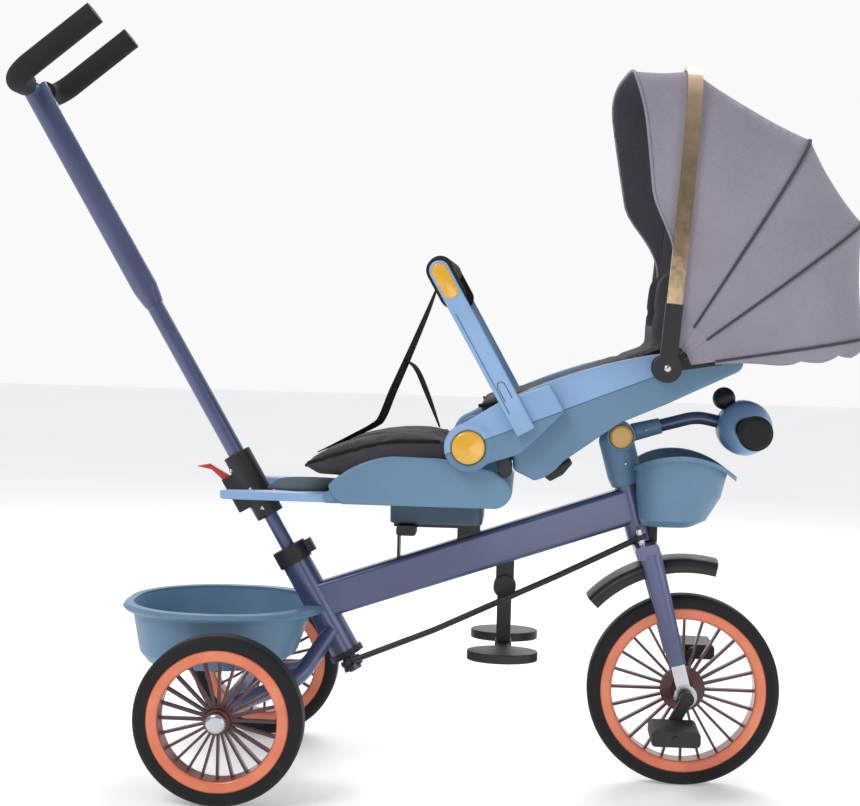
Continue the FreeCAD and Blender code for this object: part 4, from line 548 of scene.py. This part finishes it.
for node, name, look, slot, voxel, rounds in (
    ("seat_shell", "seat_bucket", "steel", "blue_plastic", 2.2, 10),
    ("back_shell", "back_bucket", "back", "blue_plastic", 2.2, 10),
    ("leg_rest", "calf_rest_moulding", "light", "light_blue_plastic", 1.6, 6),
    ("seat_base", "turntable_plinth", "slate", "grey_plastic", 2.0, 8),
    ("head_cover", "head_cover_moulding", "steel", "blue_plastic", 1.5, 5),
    ("handlebar_hub", "handlebar_ball", "light", "light_blue_plastic", 1.5, 4),
    ("bar_clamp", "bar_clamp_moulding", "black", "bearing_black", 1.2, 3),
    ("clamp_lever", "clamp_lever_moulding", "red", "lever_red", 0.9, 3),
    ("foot_plates", "foot_plate_mouldings", "black", "bearing_black", 1.4, 4),
    ("stem_socket", "stem_socket_moulding", "steel", "blue_plastic", 1.0, 4),
    ("steering_column", "column_tube", "violet", "frame_violet", 1.5, 1),
):
    moulding = melted_copy(node, name, M[look], voxel, rounds)
    all_smooth(moulding)
    finish_piece(moulding, BODY_OF[node], slot, node)

for node, look in (
    ("pedal_right", "black"), ("pedal_left", "black"), ("front_fender", "black"),
    ("footrest_post", "black"), ("front_basket", "steel"), ("rear_basket", "steel"),
    ("push_upper_tube", "violet"), ("stem_button", "amber"),
    ("recline_button_right", "yellow"), ("recline_button_left", "yellow"),
):
    dress(node, M[look])


# ---------------------------------------------------------------- guard ring

GUARD_FOOT, GUARD_TOP = (372, 474), (254, 680)
GUARD_LONG = math.hypot(GUARD_TOP[0] - GUARD_FOOT[0], GUARD_TOP[1] - GUARD_FOOT[1])
ARM_INNER, ARM_OUTER, ARM_HALF = 154, 164, 13
BAR_X, BAR_Z, BAR_RADIUS = 258, 676, 9


def guard_point(along, across):
    """A place on a guard arm in the side view: along from its foot, across towards the handlebar."""
    dx = (GUARD_TOP[0] - GUARD_FOOT[0]) / GUARD_LONG
    dz = (GUARD_TOP[1] - GUARD_FOOT[1]) / GUARD_LONG
    return GUARD_FOOT[0] + dx * along + dz * across, GUARD_FOOT[1] + dz * along - dx * across


def rounded_bar(start, end, half):
    """A round-ended outline that lies along a guard arm."""
    caps = []
    for middle, first in ((start + half, 90), (end - half, -90)):
        for k in range(13):
            turn = math.radians(first + 15 * k)
            caps.append(guard_point(middle + half * math.cos(turn), half * math.sin(turn)))
    return caps


def guard_line(name, side, height, places, radius, steps):
    """A thin dark line on an arm's outer face, through (along, across) places; steps 0 keeps its corners."""
    points = [mm(x, side * height, z) for x, z in (guard_point(*place) for place in places)]
    line = curve_through(points, steps) if steps else points
    finish_piece(tube(name, line, radius, M["slate"], 6), "backrest", "grey_plastic")


arms = []
for side in (-1, 1):
    name = side_name(side)
    bend = GUARD_LONG - 8
    corners = [guard_point(0, 12.5), guard_point(0, -12.5), guard_point(bend, -ARM_HALF)]
    corners += [guard_point(bend + ARM_HALF * math.sin(a), -ARM_HALF * math.cos(a))
                for a in (math.pi * k / 12 for k in range(1, 12))]
    corners.append(guard_point(bend, ARM_HALF))
    arms.append(outline(f"guard_arm_{name}", corners, *y_range(side, ARM_INNER, ARM_OUTER), M["light"], 2.4))
    corners = rounded_bar(GUARD_LONG - 47, GUARD_LONG + 1, 9.8)
    inlay = outline(f"guard_inlay_{name}", corners, *y_range(side, 160, 165.6), M["yellow"], 1.6)
    finish_piece(inlay, BODY_OF[f"guard_button_{name}"], "button_yellow", f"guard_button_{name}")
    corners = rounded_bar(GUARD_LONG - 60, GUARD_LONG + 9, 16.6)
    wrap = outline(f"guard_end_wrap_{name}", corners, *y_range(side, 148, 162.2), M["piping"], 2.5)
    finish_piece(wrap, "backrest", "foam_black")
    groove = ((30, -7.5), (110, -7.5), (172, -7.5))
    guard_line(f"guard_groove_{name}", side, 164.1, groove, 0.0005, 6)
    latch = ((46, -5), (66, -5), (70, -3), (71.5, 0), (70, 3), (66, 5), (46, 5))
    guard_line(f"guard_latch_{name}", side, 164.2, latch, 0.0006, 0)
bar_rows = [[mm(BAR_X + BAR_RADIUS * math.cos(a), y, BAR_Z + BAR_RADIUS * math.sin(a))
             for a in (2 * math.pi * k / 24 for k in range(24))]
            for y in range(-155, 156, 31)]
bar = grid("guard_cross_bar", bar_rows, M["light"], wrap_columns=True, caps=True)
finish_piece(joined("guard_moulding", [*arms, bar]), "backrest", "light_blue_plastic", "guard_ring")


# ---------------------------------------------------------------- small fittings

# The dark recline mechanism between the seat and the back, and the latch under the back.
for side in (-1, 1):
    corners = [(334, 447), (344, 451), (351, 441), (356, 430), (355, 419), (346, 413), (337, 424)]
    gear = outline(f"recline_gear_{side_name(side)}", corners, *y_range(side, 104, 147), M["black"], 2.5)
    finish_piece(gear, "seat", "bearing_black")
    corners = [(396, 416), (404, 410), (420, 419), (432, 434), (428, 440), (416, 432), (404, 428)]
    hook = outline(f"back_latch_{side_name(side)}", corners, *y_range(side, 96, 124), M["black"], 2.0)
    finish_piece(hook, "backrest", "bearing_black")


def rivet(name, host, x, z, radius, body):
    """A domed rivet head on the right-hand side of a part, at a place in the side view."""
    start = mm(x, -400, z)
    _, place, _, _ = host.ray_cast(host.matrix_world.inverted() @ start, Vector((0, 1, 0)))
    face = (host.matrix_world @ place).y * 1000
    profile = [(0, face - 1.6), (radius * 0.6, face - 1.2), (radius, face - 0.2)]
    profile += [(radius, face + 1.5), (0, face + 1.5)]
    finish_piece(turned(name, profile, (x, z), M["chrome"], 1, 20), body, "plated")


# Rivets through the clamp, and the screws that hold the head cover and the stem.
COLUMN_FOOT = (136.5, 162.5)
COLUMN_LEAN = math.radians(30.4)
clamp = bpy.data.objects["bar_clamp_moulding"]
for number, (along, back) in enumerate(((286, 16), (250, 26), (252, 4), (222, 2)), 1):
    x = COLUMN_FOOT[0] - along * math.sin(COLUMN_LEAN) - back * math.cos(COLUMN_LEAN)
    z = COLUMN_FOOT[1] + along * math.cos(COLUMN_LEAN) - back * math.sin(COLUMN_LEAN)
    rivet(f"clamp_rivet_{number}", clamp, x, z, 3.0, BODY_OF["bar_clamp"])
low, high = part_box("stem_button")
stem_x, stem_z = (low.x + high.x) * 500 + AXLE_TO_MIDDLE, (low.z + high.z) * 500
socket = bpy.data.objects["stem_socket_moulding"]
rivet("stem_screw", socket, stem_x + 33, stem_z + 8.6, 2.3, BODY_OF["stem_socket"])
cover = bpy.data.objects["head_cover_moulding"]
rivet("head_cover_screw", cover, stem_x + 7.2, stem_z - 35.8, 2.6, BODY_OF["head_cover"])

# The bell on the handlebar's round hub, and the black bracket that carries the front basket.
profile = [(0, -14), (6, -13.2), (11, -10), (14.2, -4.5), (15, 1), (15, 5), (13.6, 7.5), (0, 8)]
bell = turned("bell_dome", profile, (633, 517), M["black"])
foot = tube("bell_foot", [mm(645, 0, 503), mm(636, 0, 514)], 0.0055, M["black"], 16)
finish_piece(joined("handlebar_bell", [bell, foot]), BODY_OF["handlebar_hub"], "bearing_black")
corners = [(537, 317.5), (549.5, 317.5), (549.5, 350), (537, 350)]
bracket = outline("basket_bracket_cover", corners, -13, 13, M["black"], 1.2)
finish_piece(bracket, BODY_OF["front_basket"], "bearing_black")


# ---------------------------------------------------------------- padded pieces

def stuffed(node, name, most):
    """A CAD pad drawn in a little, then blown up by a cloth simulation, nowhere more than most mm."""
    drawn_in = 0.002
    obj = melted_copy(node, name, M["cushion"], 5.0, 4)
    for vertex, normal in zip(obj.data.vertices, [v.normal.copy() for v in obj.data.vertices]):
        vertex.co -= normal * drawn_in
    start = [v.co.copy() for v in obj.data.vertices]
    cloth = obj.modifiers.new("cloth", "CLOTH")
    cloth.settings.use_pressure = True
    cloth.settings.uniform_pressure_force = 4.0
    cloth.settings.effector_weights.gravity = 0
    cloth.settings.quality = 4
    for step in range(1, 21):
        bpy.context.scene.frame_set(step)
    bake(obj)
    bpy.context.scene.frame_set(1)
    for vertex, before in zip(obj.data.vertices, start):
        move = vertex.co - before
        if move.length > most / 1000:
            vertex.co = before + move.normalized() * (most / 1000)
    obj.data.materials.clear()
    obj.data.materials.append(M["cushion"])
    apply_modifier(obj, "SUBSURF", levels=1)
    all_smooth(obj)
    finish_piece(obj, BODY_OF[node], "fabric_dark", node)
    return obj


def sewn(obj, depth, width, distance):
    """Presses a sewn channel into a pad. distance(x, y, z) is how far a place in mm is from the seam."""
    for vertex, normal in zip(obj.data.vertices, [v.normal.copy() for v in obj.data.vertices]):
        x, y, z = vertex.co.x * 1000 + AXLE_TO_MIDDLE, vertex.co.y * 1000, vertex.co.z * 1000
        off = distance(x, y, z)
        vertex.co -= normal * (depth / 1000 * math.exp(-(off / width) ** 2))


# A width direction that no cord on this part runs along.
OBLIQUE = Vector((0.3, 0.2, 1)).normalized()


def piping(name, pad, path, body):
    """A sewn cord laid on a pad's surface along path."""
    radius = 0.0024
    line = []
    for point in curve_through(path, 8):
        _, place, normal, _ = pad.closest_point_on_mesh(point)
        line.append(place + normal * (radius * 0.35))
    finish_piece(tube(name, line, radius, M["piping"], 8, width_way=OBLIQUE), body, "fabric_dark")


cushion = stuffed("seat_cushion", "seat_cushion_pad", 6.0)
sewn(cushion, 2.2, 4.0, lambda x, y, z: min(abs(abs(y) - 48), 40.0) if z > 425 else 40.0)
for side in (-1, 1):
    corners = ((92, 114, 424), (130, 117, 439), (182, 117, 456), (262, 117, 458))
    rim = [mm(x, side * y, z) for x, y, z in corners]
    piping(f"seat_piping_{side_name(side)}", cushion, rim, "seat")
front_rim = [mm(88, y, 420) for y in (-112, -60, 0, 60, 112)]
piping("seat_piping_front", cushion, front_rim, "seat")

back_pad = stuffed("back_cushions", "back_pad_and_bolster", 5.0)
sewn(back_pad, 2.0, 4.0, lambda x, y, z: abs((x + 1.9 * z) % 150 - 75) / 2.15)
for side in (-1, 1):
    corners = ((308, 503), (345, 516), (400, 532), (480, 564), (560, 592), (614, 590))
    rim = [mm(x, side * 122, z) for x, z in corners]
    piping(f"back_piping_{side_name(side)}", back_pad, rim, "backrest")

CALF_SECTION = ((-1, 0), (-0.96, 2.2), (-0.6, 3.4), (0, 3.9), (0.6, 3.4), (0.96, 2.2), (1, 0))
calf_rows = []
for i in range(15):
    u = -1 + i / 7
    edge = math.sqrt(max(0.0, 1 - abs(u) ** 6))
    calf_rows.append([mm(78 + 45 * c * edge, 99 * u, 385.2 + h * edge) for c, h in CALF_SECTION])
calf_pad = grid("calf_rest_pad", calf_rows, M["slate_cloth"], wrap_columns=True)
finish_piece(calf_pad, "calf_rest", "fabric_dark")

pad_middle = [mm(BAR_X, y, BAR_Z) for y in range(-144, 145, 4)]
rows = []
for point in pad_middle:
    y = point.y * 1000
    end = min(1.0, (146 - abs(y)) / 9)
    swell = 15.6 + 0.9 * abs(math.cos(y * math.pi / 48)) ** 0.4
    radius = swell * math.sqrt(max(0.08, 1 - (1 - end) ** 2)) / 1000
    rows.append([point + Vector((math.cos(a), 0, math.sin(a))) * radius
                 for a in (2 * math.pi * k / 40 for k in range(40))])
guard_pad = finish_piece(grid("guard_pad_cover", rows, M["piping"], wrap_columns=True, caps=True),
                         "backrest", "foam_black", "guard_pad")
seam = [point + Vector((0.0155, 0, -0.004)) for point in pad_middle[2:-2]]
seam = tube("guard_pad_seam", seam, 0.0011, M["cushion"], 6, width_way=Vector((0, 0, 1)))
finish_piece(seam, "backrest", "fabric_dark")


# ---------------------------------------------------------------- canopy

CANOPY_HUB = (544, 559)
CANOPY_HALF = 168
CANOPY_ROOT = 60
ARCH_POWER = 0.62
# Each arch's lean in degrees and its reach from the hub.
RIBS = {
    "visor": (97.0, 386),
    "bow": (85.5, 385),
    "upper": (58.4, 350),
    "middle": (37.2, 318),
    "rear": (9.5, 264),
}


def arch(angle, reach, t, inset=0.0):
    """A point over the rider on an arch that leans at angle, from its right foot at t 0 to its left at 1."""
    lean = math.radians(angle)
    swing = math.pi * t
    side = -math.copysign(abs(math.cos(swing)) ** ARCH_POWER, math.cos(swing)) * (CANOPY_HALF - inset)
    out = CANOPY_ROOT + (reach - inset - CANOPY_ROOT) * abs(math.sin(swing)) ** ARCH_POWER
    return mm(CANOPY_HUB[0] + out * math.cos(lean), side, CANOPY_HUB[1] + out * math.sin(lean))


def along_arch(steps):
    """Places along an arch, closer together where it turns fastest."""
    return [0.5 - 0.5 * math.cos(math.pi * i / steps) for i in range(steps + 1)]


def smooth(x):
    x = min(1.0, max(0.0, x))
    return x * x * (3 - 2 * x)


def visor_edge(t):
    """The visor's free edge: it narrows into the bow near its feet, and its left half stands further out."""
    angle, reach = RIBS["visor"]
    out = CANOPY_ROOT + (reach - CANOPY_ROOT) * math.sin(math.pi * t) ** ARCH_POWER
    wide = smooth((out - 118) / 105)
    flare = 3.8 * smooth((t - 0.42) / 0.3) - 1.0 * smooth((0.4 - t) / 0.2)
    bow_angle = RIBS["bow"][0]
    return arch(bow_angle + 1.0 + (angle - bow_angle - 1.0 + flare) * wide, reach, t)


def near_hub(angle, out, t):
    """A place on the flat side of the canopy, out from its hub."""
    lean = math.radians(angle)
    side = math.copysign(CANOPY_HALF, t - 0.5)
    return mm(CANOPY_HUB[0] + out * math.cos(lean), side, CANOPY_HUB[1] + out * math.sin(lean))


def gore(name, first, second, node, bodies, sag, ruffle=0.0):
    """Cloth stretched between two arches: it sinks a little between them, more along the top."""
    (a0, r0), (a1, r1) = RIBS[first], RIBS[second]
    hub = mm(CANOPY_HUB[0], 0, CANOPY_HUB[1])
    rows = []
    foot, head = ([], []) if first == "visor" else ([(0.0, 30), (0.0, 45)], [(1.0, 45), (1.0, 30)])
    for t, out in foot + [(t, 0) for t in along_arch(72)] + head:
        if out:
            low, high = near_hub(a0, out, t), near_hub(a1, out, t)
        else:
            low = visor_edge(t) if first == "visor" else arch(a0, r0, t)
            high = arch(a1, r1, t)
        over = max(0.0, math.sin(math.pi * t)) ** 0.5
        inward = hub - (low + high) / 2
        inward.y *= 0.5
        inward.normalize()
        row = []
        for j in range(15):
            s = j / 14
            dip = 4 * s * (1 - s) * sag * over / 1000
            crinkle = noise.noise(Vector((t * 34, s * 3, len(name)))) * 0.0010 * math.sin(math.pi * s)
            wave = ruffle / 1000 * math.sin(46 * math.pi * t) * (1 - s) ** 2 * over
            row.append(low.lerp(high, s) + inward * (dip + crinkle + wave + 0.0004))
        rows.append(row)
    obj = grid(name, rows, M["canopy"])
    obj.data.materials.append(M["lining"])
    # Any face that is well inside the cloth tells which side looks towards the hub.
    face = obj.data.polygons[500]
    inside = -1 if face.normal.dot(face.center - hub) > 0 else 1
    apply_modifier(obj, "SOLIDIFY", thickness=0.0011, offset=inside, material_offset=1)
    all_smooth(obj)
    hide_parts(node)
    if len(bodies) == 1:
        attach(obj, bodies[0])
    else:
        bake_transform(obj)


gore("canopy_visor_cloth", "visor", "bow", "canopy_visor", ["canopy_front"], 2.0, ruffle=2.2)
for name, first, second, bodies, rests_on in (
    ("top", "bow", "upper",
     ["canopy_upper", "canopy_front"], ["canopy_bow", "canopy_rib_upper"]),
    ("middle", "upper", "middle",
     ["canopy_middle", "canopy_upper"], ["canopy_rib_upper", "canopy_rib_middle"]),
    ("rear", "middle", "rear",
     ["backrest", "canopy_middle"], ["canopy_rib_middle", "canopy_base"]),
):
    gore(f"canopy_{name}_cloth", first, second, f"canopy_gore_{name}", bodies, 5.0)

for rib, body, radius in (
    ("upper", "canopy_upper", 0.0015), ("middle", "canopy_middle", 0.0015), ("rear", "backrest", 0.0017),
):
    line = [arch(*RIBS[rib], t, -0.4) for t in along_arch(72)]
    seam = tube(f"canopy_seam_{rib}", line, radius, M["binding"], 8, width_way=OBLIQUE)
    finish_piece(seam, body, "fabric_canopy")
line = [visor_edge(t) for t in along_arch(72)[3:-3]]
binding = tube("canopy_visor_binding", line, 0.0019, M["canopy"], 8, width_way=OBLIQUE)
finish_piece(binding, "canopy_front", "fabric_canopy")

profile = [(0, 179.4), (2.2, 179.2), (4.2, 178.2), (4.8, 176.9), (4.8, 175.6), (0, 175.6)]
for side in (-1, 1):
    screw = turned(f"canopy_screw_{side_name(side)}", profile, CANOPY_HUB, M["chrome"], side, 32)
    finish_piece(screw, "backrest", "plated")

# The scalloped valance that hangs from the rear rib.
lean = math.radians(RIBS["rear"][0] - 90)
down = Vector((math.cos(lean), 0, math.sin(lean)))
rows = []
for t in along_arch(96):
    top = arch(*RIBS["rear"], t, -0.6)
    deep = (14 + 6 * abs(math.sin(9 * math.pi * t))) * min(1.0, 8 * min(t, 1 - t) + 0.25) / 1000
    inward = mm(CANOPY_HUB[0], 0, CANOPY_HUB[1]) - top
    inward.normalize()
    wave = 0.0012 * math.sin(36 * math.pi * t)
    rows.append([top + down * (deep * s) + inward * (wave * s * s + 0.002 * s)
                 for s in (0, 0.25, 0.5, 0.75, 1)])
valance = grid("canopy_valance", rows, M["canopy"])
apply_modifier(valance, "SOLIDIFY", thickness=0.001, offset=0)
all_smooth(valance)
finish_piece(valance, "backrest", "fabric_canopy")


# ---------------------------------------------------------------- straps

STRAP = [mm(x, 0, z) for x, z in (
    (249.2, 659), (236, 622), (212, 562), (192, 514), (179, 480), (168, 468), (134, 450), (94, 430),
)]
BRANCH = [mm(x, 0, z) for x, z in ((210, 556), (224, 543), (240, 508), (256, 468))]


def strap(name, points, half, twist, replaced):
    """A woven band that bends between the seat and the back."""
    line = curve_through(points, 10)
    band = tube(name, line, 0, M["webbing"], 12, flat=(half, 0.0009), twist=twist)
    if replaced:
        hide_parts(replaced)
    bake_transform(band)


strap("crotch_strap_band", STRAP, 0.0115, 24, "crotch_strap")
strap("crotch_strap_branch", BRANCH, 0.008, 20, None)


# ---------------------------------------------------------------- camera, light, floor

def area_light(name, place, aim, power, size):
    data = bpy.data.lights.new(name, "AREA")
    data.energy = power
    data.size = size
    lamp = bpy.data.objects.new(name, data)
    lamp.location = place
    lamp.rotation_euler = (Vector(aim) - Vector(place)).to_track_quat("-Z", "Y").to_euler()
    bpy.context.scene.collection.objects.link(lamp)


area_light("key", (-1.5, -2.0, 2.6), (0, 0, 0.5), 44, 1.3)
area_light("fill", (2.2, -1.9, 1.0), (0.1, 0, 0.5), 15, 1.6)
area_light("strip", (0.4, -2.6, 0.2), (0, 0, 0.4), 4, 0.8)
area_light("rim_light", (0.2, 2.2, 2.4), (0, 0, 0.5), 36, 1.6)

# A studio that is bright behind the tricycle and darker in front of it, which glossy parts reflect.
world = bpy.data.worlds.new("studio")
world.use_nodes = True
sky = world.node_tree
direction = add(sky, "TexCoord").outputs["Generated"]
separate = add(sky, "SeparateXYZ")
sky.links.new(direction, separate.inputs[0])
depth = add(sky, "MapRange")
depth.inputs["From Min"].default_value = -1
sky.links.new(separate.outputs["Y"], depth.inputs["Value"])
tones = [(0.0, (0.20, 0.21, 0.23)), (0.45, (0.50, 0.51, 0.54)), (0.75, (1, 1, 1))]
shade = ramp(sky, depth.outputs["Result"], tones)
sky.links.new(shade, sky.nodes["Background"].inputs["Color"])
sky.nodes["Background"].inputs["Strength"].default_value = 0.95
bpy.context.scene.world = world
bpy.context.scene.view_settings.view_transform = "Standard"

floor_mat, floor_tree, floor_bsdf = shader("floor", 0.6)
floor_cloud = noise_of(floor_tree, object_coords(floor_tree), 1.5, 3.0)
floor_tree.links.new(ramp(floor_tree, floor_cloud, [(0.3, (0.88, 0.88, 0.885)), (0.7, (0.92, 0.92, 0.92))]),
                     floor_bsdf.inputs["Base Color"])
floor_bsdf.inputs["Emission Color"].default_value = (1, 1, 1, 1)
floor_bsdf.inputs["Emission Strength"].default_value = 0.26
FLOOR_HALF = 12
corners = (-FLOOR_HALF, FLOOR_HALF)
floor = grid("floor", [[Vector((x, y, -0.0003)) for x in corners] for y in corners], floor_mat)

CAMERA_PLACE = (0.130, -2.478, 0.615)
YAW, PITCH, ROLL = math.radians(-3.06), math.radians(2.66), math.radians(1.52)
ahead = Vector((math.sin(YAW) * math.cos(PITCH), math.cos(YAW) * math.cos(PITCH), -math.sin(PITCH)))
right = Vector((math.cos(YAW), -math.sin(YAW), 0))
up = right.cross(ahead)
rolled_right = right * math.cos(ROLL) + up * math.sin(ROLL)
rolled_up = up * math.cos(ROLL) - right * math.sin(ROLL)
camera_data = bpy.data.cameras.new("camera")
camera_data.sensor_width = 36
camera_data.lens = 77.6512
camera = bpy.data.objects.new("camera", camera_data)
camera.matrix_world = Matrix((
    *zip(rolled_right, rolled_up, -ahead, CAMERA_PLACE),
    (0, 0, 0, 1),
))
bpy.context.scene.collection.objects.link(camera)
bpy.context.scene.camera = camera
